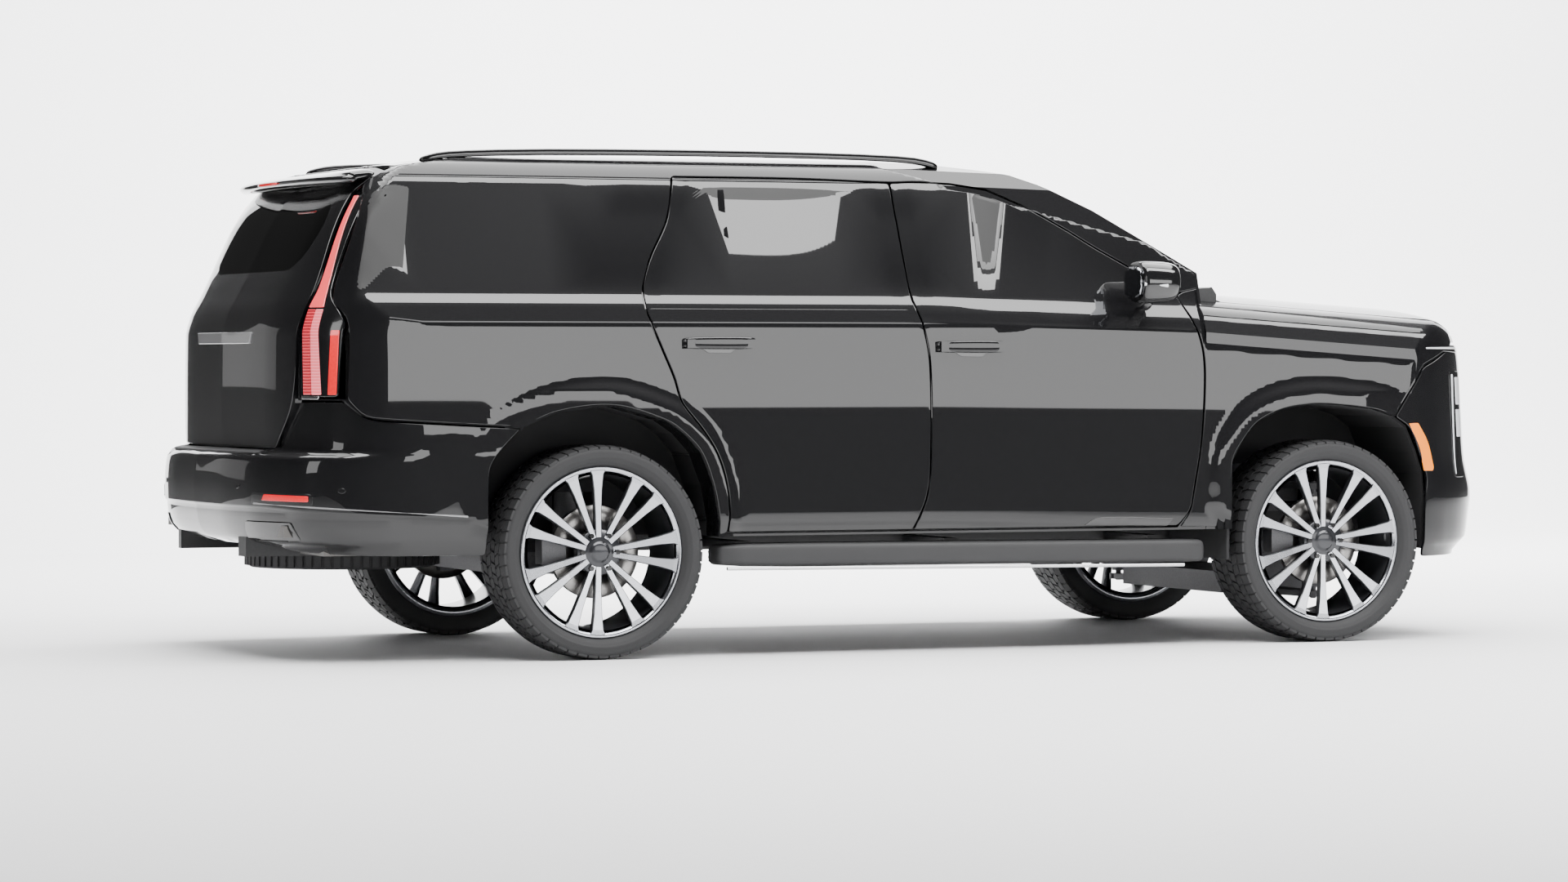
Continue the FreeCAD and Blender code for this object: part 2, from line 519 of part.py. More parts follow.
lamps = [lamp_top, lamp_low, mirrored(lamp_top), mirrored(lamp_low)]
keep("front_bumper", cut(front_skin, [grille_zone] + lamps))
keep("headlamps", Part.makeCompound([front_skin.common(zone) for zone in lamps]))
slats = [box(NOSE - 400, NOSE + 10, -610, 610, z, z + 22) for z in range(585, 1120, 62)]
posts = [box(NOSE - 400, NOSE + 10, y - 9, y + 9, 540, 1130) for y in range(-500, 501, 200)]
rim = grille_zone.cut(front_prism(both([(500, 582), (578, 1098)]), NOSE - 400, NOSE + 10))
keep("grille", fuse([front_skin.common(grille_zone).common(part) for part in [rim] + slats + posts]))

# Rear bumper.
REAR_PLAN = both_plan([(BUMPER_REACH + 100, HALF_WIDTH + 4), (TAIL + 530, HALF_WIDTH),
                       (TAIL + 330, HALF_WIDTH - 27), (TAIL + 230, HALF_WIDTH - 72), (TAIL + 163,
                                                                                      HALF_WIDTH - 132),
                       (TAIL + 110, HALF_WIDTH - 232), (TAIL + 40, 560), (TAIL + 8, 300), (TAIL, 0)])
REAR_SIDE = ([(BUMPER_REACH, 385)]
             + past(TAIL, [(161, 415), (40, 450), (0, 540), (0, 700), (30, 775), (110, 782), (110, 970),
                           (305, 966),
                           (362, 912), (414, 897)]) + [(BUMPER_REACH, 873)])
bumper_shell = plan_prism(REAR_PLAN, 300, 1000).cut(plan_prism(grow(REAR_PLAN, -40), 300, 1000))
bumper_shell = bumper_shell.common(box(TAIL, BUMPER_REACH, -WIDE, WIDE, 300, 1000))
bumper = bumper_shell.fuse(plan_prism(REAR_PLAN, 762, 782).common(box(TAIL, TAIL + 150, -620, 620, 762,
                                                                      782)))
rear_band = flare(rear_arch, [(BUMPER_REACH, 385), (BUMPER_REACH - 80, 385), (BUMPER_REACH - 80, 868),
                              (BUMPER_REACH, 868)])
bumper = bumper.common(side_prism(REAR_SIDE, -WIDE, WIDE)).fuse(rear_band).fuse(mirrored(rear_band))
bumper = bumper.cut(side_prism(rear_arch, -WIDE, WIDE))
bumper = bumper.cut(front_prism(narrowed([(380, 784), (262, 960), (232, 1100)]), TAIL - 50, TAIL + 530))
outlets = front_prism([(520, 455), (545, 515), (HALF_WIDTH - 182, 515), (HALF_WIDTH - 152, 455)], TAIL - 50,
                      TAIL + 330)
bumper = cut(bumper, [outlets, mirrored(outlets), LAMP_BODY, mirrored(LAMP_BODY)])
keep("rear_bumper", bumper)


# Side steps, roof rails and mirrors.
step = box(AXLE_R + 459.5, FIREWALL - 9, -HALF_WIDTH - 18, -HALF_WIDTH + 152, STEP_TOP - 97, STEP_TOP)
keep("side_steps", pair(step))
rail = side_prism(past(TAIL, [(658, 1862), (730, 1888)]) + past(AXLE_R, [(-167.5, 1906), (381.5, RAIL_TOP)])
                  + past(FIREWALL, [(-1531, RAIL_TOP), (-1173, 1912), (-1023, 1870), (-1023, 1855), (-1075,
                                                                                                     1855),
                                    (-1115, 1885), (-1531, 1898)])
                  + past(AXLE_R, [(381.5, 1897), (-167.5, 1884)])
                  + past(TAIL, [(770, 1866), (730, 1850), (658, 1850)]), -RAIL_Y, -RAIL_Y + 45)
feet = [box(x, x + 70, -RAIL_Y, -RAIL_Y + 45, 1850, 1900) for x in (AXLE_R + 35.5, FIREWALL - 1785)]
keep("roof_rails", pair(cut(fuse([rail] + feet), [E0])))
shell = plan_prism([(FIREWALL + x, -HALF_WIDTH - y) for x, y in (
    (-372, 0), (-214, 0), (-194, 38), (-213, 168), (-280, 196), (-345, 188), (-372, 163))], 1336, 1500)
stalk = box(FIREWALL - 305, FIREWALL - 243, -HALF_WIDTH - 58, -HALF_WIDTH + 72, 1290, 1345)
mirror = cut(fuse([shell, stalk]), [front_door, front_pane, E0])
keep("mirror_right", mirror)
keep("mirror_left", mirrored(mirror))

# Floor, firewall and wheel liners.
floor = [box(REAR_FLOOR_X, FIREWALL, -WALL_Y, WALL_Y, FLOOR, FLOOR + FLOOR_THICK),
         box(TAIL + 225, REAR_FLOOR_X, -WALL_Y, WALL_Y, CARGO_FLOOR, CARGO_FLOOR + FLOOR_THICK),
         box(REAR_FLOOR_X - FLOOR_THICK, REAR_FLOOR_X, -WALL_Y, WALL_Y, FLOOR, CARGO_FLOOR),
         box(FIREWALL, FIREWALL + 18, -WALL_Y, WALL_Y, FLOOR, 1385)]
front_liner = side_prism(grow(front_arch, LINER), -HALF_WIDTH + 12, -ARCH_INNER)
front_liner = front_liner.cut(side_prism(front_arch, -WIDE, -ARCH_INNER - LINER))
front_liner = front_liner.common(box(0, NOSE, -WIDE, 0, 335, 1100))
front_liner = front_liner.cut(box(AXLE_F - 200, AXLE_F + 200, -WIDE, 0, 0, 700))
front_liner = front_liner.cut(box(AXLE_F + 430, NOSE, -WIDE, -HALF_WIDTH + 40, 0, 440))
apron = box(FIREWALL + 18, AXLE_F - 450, -ARCH_INNER - LINER, -ARCH_INNER, FLOOR, 900)
front_liner = cut(fuse([front_liner, apron]), [fender, front_skin])
rear_shape = grow(rear_arch, LINER)
rear_liner = side_prism(rear_shape, -WALL_Y, -REAR_ARCH_INNER)
rear_liner = rear_liner.cut(side_prism(rear_arch, -WIDE, -REAR_ARCH_INNER - LINER))
rear_liner = rear_liner.common(box(-3000, 0, -WIDE, 0, 455, 1100))
rear_liner = rear_liner.cut(box(AXLE_R - 100, AXLE_R + 100, -WIDE, 0, 0, 620))
hollow = side_prism(rear_arch, -WIDE, -REAR_ARCH_INNER)
pan = fuse(floor).cut(hollow).cut(mirrored(hollow))
neighbours = [NODES["rear_bumper"], NODES["body_side_right"], NODES["body_side_left"],
              NODES["front_fenders"],
              NODES["fixed_glass"]]
keep("floor_pan", cut(fuse([pan, cowl]), neighbours))
front_liner = cut(front_liner, neighbours + [NODES["floor_pan"]])
rear_liner = cut(rear_liner, neighbours + [NODES["floor_pan"]])
keep("wheel_liners", Part.makeCompound([pair(front_liner), pair(rear_liner)]))

# Frame, engine and suspension.
frame = [box(TAIL + 40, NOSE - 330, RAIL_IN, RAIL_OUT, RAIL_BOTTOM, FLOOR),
         box(NOSE - 330, NOSE - 270, -600, 600, 420, 500),
         box(NOSE - 270, NOSE - 30, 200, 260, 430, 490),
         box(AXLE_R + 425.5, AXLE_R + 485.5, -RAIL_IN, RAIL_IN, 400, 480),
         box(-330, -270, -RAIL_IN, RAIL_IN, 400, 480),
         box(FIREWALL - 125, FIREWALL - 65, -RAIL_IN, RAIL_IN, 400, 480)]
frame += [box(x, x + 60, RAIL_OUT, HALF_WIDTH - 142, 400, STEP_TOP) for x in (AXLE_R + 585, -80,
                                                                              FIREWALL - 185)]
frame += [box(-640, -560, RAIL_IN, RAIL_OUT, RAIL_BOTTOM - JACK_PAD, RAIL_BOTTOM)]
frame = [shape.cut(mirrored(step)) for shape in frame]
frame = fuse(frame + [mirrored(shape) for shape in frame])
keep("chassis_frame", cut(frame, [NODES["front_bumper"], bumper_shell, NODES["grille"]]))
engine = fuse([box(FIREWALL + 75, AXLE_F + 224.5, 70 - RAIL_IN, RAIL_IN - 70, 540, 1120),
               box(FIREWALL + 215, AXLE_F + 64.5, -RAIL_OUT, RAIL_OUT, FLOOR, 600)])

LOW_ARM = TYRE_Z - KING_REACH - ARM_THICK / 2
HIGH_ARM = TYRE_Z + KING_REACH - ARM_THICK / 2


def arm(low, root, half_root):
    plate = plan_prism([(AXLE_F - half_root, -root), (AXLE_F - 38, -HALF_TRACK + 30),
                        (AXLE_F + 38, -HALF_TRACK + 30), (AXLE_F + half_root, -root)], low, low + ARM_THICK)
    eye = rod((AXLE_F, -HALF_TRACK, low), (AXLE_F, -HALF_TRACK, low + ARM_THICK), 38)
    hole = rod((AXLE_F, -HALF_TRACK, low - 1), (AXLE_F, -HALF_TRACK, low + ARM_THICK + 1), STUD_RADIUS + FIT)
    return plate.fuse(eye).cut(hole)


half_front = [arm(LOW_ARM, ROOT_Y - 5, 68), arm(HIGH_ARM, TOWER_Y - 5, 60),
              box(AXLE_F - 190, AXLE_F + 190, -ROOT_Y, 0, LOW_ARM, 260),
              box(AXLE_F - 190, AXLE_F + 190, -ROOT_Y, -RAIL_IN, 260, RAIL_BOTTOM),
              box(AXLE_F - 60, AXLE_F + 60, -TOWER_Y, -RAIL_IN - 30, FLOOR, HIGH_ARM + ARM_THICK)]
front_carry = fuse(half_front + [mirrored(shape) for shape in half_front])
keep("engine_block", engine.cut(front_carry))
keep("front_suspension", front_carry)

DISC_IN = HALF_TRACK + 10
DISC_OUT = DISC_IN + 25
HUB_END = HALF_TRACK + 78


def upright(axle, half):
    z = TYRE_Z
    parts = [box(axle - 30, axle + 30, -HALF_TRACK - 2, -HALF_TRACK + 38, z - half, z + half),
             rod((axle, -HALF_TRACK, z), (axle, -HUB_END, z), SPINDLE_RADIUS),
             box(axle - 205, axle - 28, -DISC_IN + 6, -HALF_TRACK + 22, z - 45, z + 45),
             box(axle - 215, axle - 182, -DISC_OUT - 17, -HALF_TRACK + 22, z - 45, z + 45),
             box(axle - 215, axle - 120, -DISC_OUT - 17, -DISC_OUT - 5, z - 45, z + 45)]
    return parts


studs = [rod((AXLE_F, -HALF_TRACK, TYRE_Z + s * (KING_REACH - 30)), (AXLE_F, -HALF_TRACK, TYRE_Z + s * (
    KING_REACH + 18)), STUD_RADIUS) for s in (-1, 1)]
knuckle = fuse(upright(AXLE_F, KING_REACH - 25) + studs)
keep("knuckle_right", knuckle)
keep("knuckle_left", mirrored(knuckle))
half_rear = upright(AXLE_R, 140) + [
    box(AXLE_R - 200, AXLE_R + 200, -RAIL_OUT, 0, 300, RAIL_BOTTOM),
    box(AXLE_R - 60, AXLE_R + 60, -HALF_TRACK + 20, -RAIL_OUT, 305, 340),
    box(AXLE_R - 30, AXLE_R + 30, -HALF_TRACK + 20, -RAIL_IN - 30, FLOOR, 535),
    rod((AXLE_R, -SPRING_Y, 340), (AXLE_R, -SPRING_Y, FLOOR), 55),
    rod((AXLE_R, -SPRING_Y, 535), (AXLE_R, -SPRING_Y, CARGO_FLOOR), 55),
    rod((AXLE_R, -SPRING_Y, 340), (AXLE_R, -SPRING_Y, CARGO_FLOOR), 52)]
keep("rear_suspension", fuse(half_rear + [mirrored(shape) for shape in half_rear]))


# Wheels and tyres, made about the origin with the outer face toward -y.
def lathe(points):
    flat = face(points, lambda r, y: V(r, y, 0))
    return flat.revolve(V(0, 0, 0), V(0, 1, 0), 360)


BEAD = RIM_RADIUS - BEAD_STEP
FACE = -(HALF_WIDTH - HALF_TRACK - 27)
INNER = TYRE_WIDTH / 2 - 5
barrel_in = BEAD - RIM_WALL
barrel = lathe([(barrel_in, FACE), (RIM_RADIUS, FACE), (RIM_RADIUS, FACE + FLANGE), (BEAD, FACE + FLANGE),
                (BEAD, INNER - FLANGE), (RIM_RADIUS, INNER - FLANGE), (RIM_RADIUS, INNER), (barrel_in,
                                                                                            INNER)])
hub_face = FACE + RIM_DISH
hub = lathe([(0, hub_face - 8), (38, hub_face - 8), (38, hub_face), (85, hub_face), (85, -35), (0, -35)])
spoke_side = [(60, hub_face), (barrel_in + 4, FACE + 6), (barrel_in + 4, FACE + 36), (60, hub_face + 27)]
spokes = []
for i in range(SPOKE_PAIRS):
    for lean in (-8.5, 8.5):
        bar = face(spoke_side, lambda r, y: V(r, y, -13)).extrude(V(0, 0, 26))
        bar.rotate(V(0, 0, 0), V(0, 1, 0), 360 * i / SPOKE_PAIRS + lean)
        spokes.append(bar)
nuts = []
for i in range(6):
    nut = rod((69.85, hub_face + 1, 0), (69.85, hub_face - 16, 0), 11)
    nut.rotate(V(0, 0, 0), V(0, 1, 0), 60 * i)
    nuts.append(nut)
disc = lathe([(SPINDLE_RADIUS + FIT, -35), (DISC_RADIUS, -35), (DISC_RADIUS, -10), (SPINDLE_RADIUS + FIT,
                                                                                    -10)])
bore = rod((0, 0, 0), (0, HALF_TRACK - HUB_END - 4, 0), SPINDLE_RADIUS + FIT)
wheel = fuse([barrel, hub, disc] + spokes + nuts).cut(bore)
LIP = RIM_RADIUS + FIT
half_tyre = TYRE_WIDTH / 2
TYRE = [(BEAD + FIT, FACE + FLANGE + FIT), (LIP, FACE + FLANGE + FIT), (LIP, FACE + 3), (340, -half_tyre
                                                                                         + 9),
        (365, -half_tyre), (385, -half_tyre + 2), (TYRE_RADIUS - 4, -half_tyre + 14), (TYRE_RADIUS,
                                                                                       -half_tyre + 24),
        (TYRE_RADIUS, half_tyre - 24), (TYRE_RADIUS - 4, half_tyre - 14), (385, half_tyre - 2), (365,
                                                                                                 half_tyre),
        (LIP, half_tyre - 7), (LIP, INNER - FLANGE - FIT), (BEAD + FIT, INNER - FLANGE - FIT)]
tyre = lathe(TYRE)
for axle, where in ((AXLE_F, "front"), (AXLE_R, "rear")):
    for side, turn in (("right", lambda s: s), ("left", mirrored)):
        for kind, shape in (("wheel", wheel), ("tyre", tyre)):
            placed = shape.copy()
            placed.translate(V(axle, -HALF_TRACK, TYRE_Z))
            keep(kind + "_" + where + "_" + side, turn(placed))
spare = rod((SPARE_X, 0, SPARE_BOTTOM), (SPARE_X, 0, SPARE_BOTTOM + SPARE_HEIGHT), SPARE_RADIUS)
hanger = rod((SPARE_X, 0, SPARE_BOTTOM + SPARE_HEIGHT), (SPARE_X, 0, CARGO_FLOOR), 20)
keep("spare_wheel", spare.fuse(hanger))
muffler = [box(TAIL + 270, TAIL + 580, -PIPE_OUT, -500, 395, 530),
           box(TAIL + 118, TAIL + 270, -PIPE_OUT, -600, 465, 508),
           rod((TAIL + 430, -650, 530), (TAIL + 430, -650, CARGO_FLOOR), 10)]
keep("exhaust", pair(cut(fuse(muffler), [NODES["rear_bumper"]])))

# Cabin.

def seat(x, low, y0, y1, heads, rise=690):
    z = low + 117
    parts = [box(x - 150, x + 300, y0 + 30, y1 - 30, low, z + 10),
             side_prism([(x - 180, z), (x + 330, z + 50), (x + 370, z + 120), (x + 330, z + 160),
                         (x - 150, z + 120)], y0, y1),
             side_prism([(x - 180, z), (x - 60, z + 120), (x - 190, z + rise),
                         (x - 300, z + rise - 10)], y0, y1)]
    for y in heads:
        parts.append(side_prism([(x - 225, z + rise + 45), (x - 325, z + rise + 35),
                                  (x - 340, z + rise + 160), (x - 260, z + rise + 170)],
                                y - 130, y + 130))
        parts.append(rod((x - 252, y - 50, z + rise - 30), (x - 280, y - 50, z + rise + 70), 8))
        parts.append(rod((x - 252, y + 50, z + rise - 30), (x - 280, y + 50, z + rise + 70), 8))
    return fuse(parts)


SEAT_FLOOR = FLOOR + FLOOR_THICK
driver = seat(FRONT_SEAT_X, SEAT_FLOOR, DRIVER_Y - 255, DRIVER_Y + 255, [DRIVER_Y])
keep("front_seats", pair(driver))
middle = seat((FRONT_SEAT_X + BACK_SEAT_X) / 2 + 40, SEAT_FLOOR, -660, 660, [-DRIVER_Y, DRIVER_Y])
back = seat(BACK_SEAT_X, CARGO_FLOOR + FLOOR_THICK, -600, 600, [-DRIVER_Y + 60, DRIVER_Y - 60], 470)
keep("rear_seats", Part.makeCompound([middle, back]))
COLUMN = math.radians(COLUMN_TILT)
HUB = V(FIREWALL - 515, DRIVER_Y, 1165)
along = V(-math.cos(COLUMN), 0, math.sin(COLUMN))


def on_column(distance):
    return tuple(HUB - along * distance)


dash = side_prism(past(FIREWALL, [(-345, 1000), (0, 900), (0, 1385), (-85, 1395), (-305, 1330), (-375,
                                                                                                 1180)]),
                  25 - WALL_Y, WALL_Y - 25)
column = rod(on_column(20), on_column(260), 28).fuse(rod(on_column(-5), on_column(30), 12))
keep("dashboard", fuse([dash, column]).cut(E0.cut(E_FRAME)).common(CABIN))
turn_rim = Part.makeTorus(185, 15, HUB, along)
boss = rod(on_column(-25), on_column(14), 55)
bars = []
for angle in (0, 120, 240):
    bar = rod((0, 0, 0), (0, 182, 0), 12)
    bar.rotate(V(0, 0, 0), V(1, 0, 0), angle)
    bar.rotate(V(0, 0, 0), V(0, 1, 0), math.degrees(COLUMN))
    bar.translate(HUB)
    bars.append(bar)
wheel_bore = rod(on_column(-12), on_column(20), 12 + FIT)
keep("steering_wheel", fuse([turn_rim, boss] + bars).cut(wheel_bore))

for name, shape in NODES.items():
    moved = shape.copy()
    moved.translate(V(SHIFT, 0, 0))
    moved.exportStep("parts/" + name + ".step")
    print(name, len(shape.Solids), round(shape.Volume / 1e9, 4), shape.isValid())
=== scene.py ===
import json
import math

import bmesh
import bpy
import numpy as np
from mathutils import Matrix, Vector
from mathutils.geometry import delaunay_2d_cdt


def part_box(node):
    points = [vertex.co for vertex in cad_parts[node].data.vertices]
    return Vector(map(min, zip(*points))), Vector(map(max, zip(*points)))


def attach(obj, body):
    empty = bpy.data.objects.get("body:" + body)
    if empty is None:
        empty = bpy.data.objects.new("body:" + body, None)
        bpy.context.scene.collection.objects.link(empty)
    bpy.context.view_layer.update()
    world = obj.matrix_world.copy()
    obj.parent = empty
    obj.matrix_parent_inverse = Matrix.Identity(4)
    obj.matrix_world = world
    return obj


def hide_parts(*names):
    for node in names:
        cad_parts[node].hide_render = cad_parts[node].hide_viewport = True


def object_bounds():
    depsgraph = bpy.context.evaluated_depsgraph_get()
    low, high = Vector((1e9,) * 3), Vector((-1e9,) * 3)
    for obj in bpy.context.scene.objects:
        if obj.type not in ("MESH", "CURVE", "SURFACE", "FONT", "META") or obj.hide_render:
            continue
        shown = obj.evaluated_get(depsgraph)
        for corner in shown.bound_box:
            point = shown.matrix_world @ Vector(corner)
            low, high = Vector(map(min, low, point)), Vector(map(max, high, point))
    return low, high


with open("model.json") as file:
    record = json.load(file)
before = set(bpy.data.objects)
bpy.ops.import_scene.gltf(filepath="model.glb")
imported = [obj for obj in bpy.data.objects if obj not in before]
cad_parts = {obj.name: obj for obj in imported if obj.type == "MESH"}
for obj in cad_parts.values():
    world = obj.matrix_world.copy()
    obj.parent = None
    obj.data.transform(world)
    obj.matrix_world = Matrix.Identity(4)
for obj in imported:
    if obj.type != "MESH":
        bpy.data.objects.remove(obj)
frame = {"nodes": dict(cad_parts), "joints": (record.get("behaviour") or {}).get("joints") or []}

cad_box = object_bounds()

# Places are in millimetres from the middle of the wheelbase, and at() carries them into the frame.
PINS = {joint["name"]: joint["pos_m"] for joint in frame["joints"]}
FRONT_AXLE_X = PINS["wheel_front_right_spin"][0]
REAR_AXLE_X = PINS["wheel_rear_right_spin"][0]
MIDDLE = (FRONT_AXLE_X + REAR_AXLE_X) / 2
AXLE = (FRONT_AXLE_X - REAR_AXLE_X) * 500
HALF_TRACK = -PINS["wheel_front_right_spin"][1] * 1000
WHEEL_Z = PINS["wheel_front_right_spin"][2] * 1000
TAIL = cad_box[0].x * 1000 - MIDDLE * 1000
NOSE = cad_box[1].x * 1000 - MIDDLE * 1000
SIDES = (("right", -1), ("left", 1))
PROUD = 2.0
SEAM_GAP = 3.0


def at(points):
    """Metres in the frame, from an array of points in millimetres."""
    placed = np.array(points, float) / 1000
    placed[..., 0] += MIDDLE
    return placed


# Materials.
FINE_DETAIL = 3.0
BROAD_GRAIN = 6.0
SPECKLE_LIFT = 0.002
RELIEF_DEPTH = 0.001
COAT_ROUGH = 0.015
CLOUD_GRAIN = 3.0
GLASS_HAZE = 0.035
GLASS_INDEX = 1.5


def join(tree, source, output, target, into):
    tree.links.new(source.outputs[output], target.inputs[into])


def new_tree(name):
    """A material with nodes, and its node tree."""
    made = bpy.data.materials.new(name)
    made.use_nodes = True
    return made, made.node_tree


def material(name, colour, rough, metallic=0.0, coat=0.0, grain=300.0, bump=0.0, speckle=0.1,
             wear=0.08, sheen=0.0, specular=0.5, painted_glow=0.0, ribs=0.0):
    """A finish whose colour, roughness and fine relief vary with noise in object space."""
    made, tree = new_tree(name)
    skin = tree.nodes["Principled BSDF"]
    place, fine, broad, tint, spread = (
        tree.nodes.new("ShaderNode" + kind) for kind in ("TexCoord", "TexNoise", "TexNoise", "ValToRGB",
                                                         "MapRange"))
    fine.inputs["Scale"].default_value = grain
    fine.inputs["Detail"].default_value = FINE_DETAIL
    broad.inputs["Scale"].default_value = BROAD_GRAIN
    dark = [c * (1 - speckle) for c in colour]
    light = [min(1.0, c * (1 + speckle) + SPECKLE_LIFT * speckle) for c in colour]
    for end, shade in zip(tint.color_ramp.elements, (dark, light)):
        end.color = (*shade, 1)
    pattern = fine
    if ribs:
        pattern = tree.nodes.new("ShaderNodeTexWave")
        pattern.bands_direction = "Z"
        pattern.inputs["Scale"].default_value = math.pi / (10 * ribs)
    for texture in {fine, broad, pattern}:
        join(tree, place, "Object", texture, "Vector")
    join(tree, pattern, "Fac", tint, "Fac")
    join(tree, tint, "Color", skin, "Base Color")
    # The noisy colour also feeds the emission, so a finish with painted glow shines as painted light.
    join(tree, tint, "Color", skin, "Emission Color")
    spread.inputs["To Min"].default_value = max(0.0, rough - wear / 2)
    spread.inputs["To Max"].default_value = rough + wear / 2
    join(tree, broad, "Fac", spread, "Value")
    join(tree, spread, "Result", skin, "Roughness")
    if bump:
        relief = tree.nodes.new("ShaderNodeBump")
        relief.inputs["Strength"].default_value = bump
        relief.inputs["Distance"].default_value = RELIEF_DEPTH
        join(tree, pattern, "Fac", relief, "Height")
        join(tree, relief, "Normal", skin, "Normal")
    # Emission Strength is painted glow: lenses of lamps that are off shine with painted light.
    for into, value in (("Emission Strength", painted_glow), ("Metallic", metallic), ("Coat Weight", coat),
                        ("Coat Roughness", COAT_ROUGH), ("Sheen Weight", sheen),
                        ("Specular IOR Level", specular)):
        skin.inputs[into].default_value = value
    return made


def glass(name, tint):
    """Tinted glass that lets light and sight through, with a mirror coat that grows towards grazing sight."""
    made, tree = new_tree(name)
    tree.nodes.remove(tree.nodes["Principled BSDF"])
    place, cloud, shade, clear, mirror, bend, both = (
        tree.nodes.new("ShaderNode" + kind)
        for kind in ("TexCoord", "TexNoise", "ValToRGB", "BsdfTransparent", "BsdfGlossy", "Fresnel",
                     "MixShader"))
    cloud.inputs["Scale"].default_value = CLOUD_GRAIN
    dark = [c * (1 - GLASS_HAZE) for c in tint]
    for end, colour in zip(shade.color_ramp.elements, (dark, tint)):
        end.color = (*colour, 1)
    mirror.inputs["Roughness"].default_value = 0.0
    bend.inputs["IOR"].default_value = GLASS_INDEX
    join(tree, place, "Object", cloud, "Vector")
    join(tree, cloud, "Fac", shade, "Fac")
    join(tree, shade, "Color", clear, "Color")
    join(tree, bend, "Fac", both, "Fac")
    join(tree, clear, "BSDF", both, 1)
    join(tree, mirror, "BSDF", both, 2)
    join(tree, both, "Shader", tree.nodes["Material Output"], "Surface")
    return made


PAINT = material("black_paint", (0.0032, 0.0032, 0.0038), 0.4, coat=1.0, grain=900, speckle=0.5,
                 wear=0.04, specular=0.08)
GLOSS = material("gloss_black_plastic", (0.006, 0.006, 0.0065), 0.12, coat=0.6, grain=500,
                 bump=0.01, wear=0.04)
MATTE = material("grained_black_plastic", (0.022, 0.022, 0.023), 0.62, grain=700, bump=0.25)
SEAL = material("window_seal_rubber", (0.012, 0.012, 0.012), 0.55, grain=500, bump=0.12)
CHROME = material("bright_metal", (0.72, 0.72, 0.73), 0.12, metallic=1.0, grain=40, speckle=0.03,
                  wear=0.06)
MACHINED = material("machined_alloy", (0.45, 0.46, 0.49), 0.2, metallic=1.0, grain=220, bump=0.06,
                    speckle=0.08)
POCKET = material("dark_alloy", (0.035, 0.036, 0.04), 0.35, metallic=0.7, coat=0.5, grain=500,
                  speckle=0.2)
RUBBER = material("tyre_rubber", (0.018, 0.018, 0.019), 0.72, grain=260, bump=0.3, speckle=0.25)
DISC = material("brake_disc_steel", (0.33, 0.32, 0.31), 0.32, metallic=1.0, grain=160, bump=0.1,
                speckle=0.15)
CAST = material("cast_metal", (0.11, 0.11, 0.115), 0.55, metallic=0.6, grain=180, bump=0.5,
                speckle=0.3)
FRAME = material("painted_frame_steel", (0.02, 0.02, 0.021), 0.5, grain=120, bump=0.25,
                 speckle=0.3)
LINER = material("wheel_liner_felt", (0.014, 0.014, 0.015), 0.92, grain=420, bump=0.7,
                 speckle=0.4)
# Steel made far darker than bare steel: painted shade, so the exhaust under the body reads as shadow.
STEEL_IN_PAINTED_SHADE = material("brushed_steel", (0.14, 0.135, 0.13), 0.45, metallic=1.0, grain=320, bump=0.12,
                 speckle=0.12)
LEATHER = material("seat_leather", (0.03, 0.027, 0.025), 0.48, grain=330, bump=0.5, speckle=0.25,
                   sheen=0.05)
CABIN = material("soft_cabin_plastic", (0.03, 0.03, 0.031), 0.6, grain=600, bump=0.3)
BELT_CLOTH = material("seat_belt_webbing", (0.03, 0.03, 0.032), 0.7, grain=1200, bump=0.5)
# The lens finishes below glow though the lamps are off: that glow is painted light.
RED = material("red_lens", (0.75, 0.006, 0.012), 0.12, coat=1.0, grain=120, speckle=0.12,
               painted_glow=0.3)
# A lighter copy of the red lens: painted highlight and painted glow on a lamp that is off.
RED_LENS_PAINTED_HIGHLIGHT = material("lit_red_lens", (0.95, 0.075, 0.085), 0.2, coat=1.0, grain=120, speckle=0.08,
                painted_glow=0.45)
RIBBED = material("ribbed_red_lens", (0.55, 0.03, 0.045), 0.15, coat=1.0, bump=0.6, speckle=0.55,
                  painted_glow=0.25, ribs=0.011)
# A lighter copy of the ribbed red lens: painted highlight and painted glow on a lamp that is off.
RIBBED_LENS_PAINTED_HIGHLIGHT = material("ribbed_lit_lens", (0.97, 0.17, 0.2), 0.15, coat=1.0, bump=0.6,
                      speckle=0.3, painted_glow=0.6, ribs=0.011)
WHITE_LENS = material("white_lens", (0.75, 0.76, 0.78), 0.15, coat=1.0, grain=150,
                      speckle=0.05, painted_glow=0.15)
AMBER = material("amber_lens", (0.95, 0.24, 0.01), 0.15, coat=1.0, grain=150, speckle=0.1,
                 painted_glow=0.35)
BRIGHT_GREY = material("grey_gloss_metal", (0.26, 0.26, 0.265), 0.36, metallic=0.6, coat=1.0,
                       grain=200, speckle=0.05)
MIRROR = material("mirror_glass", (0.35, 0.36, 0.38), 0.03, metallic=1.0, grain=5, speckle=0.03,
                  wear=0.01)
SIDE_GLASS = glass("front_door_glass", (0.38, 0.4, 0.4))
DARK_GLASS = glass("privacy_glass", (0.25, 0.255, 0.26))
REAR_GLASS = glass("rear_privacy_glass", (0.13, 0.134, 0.138))


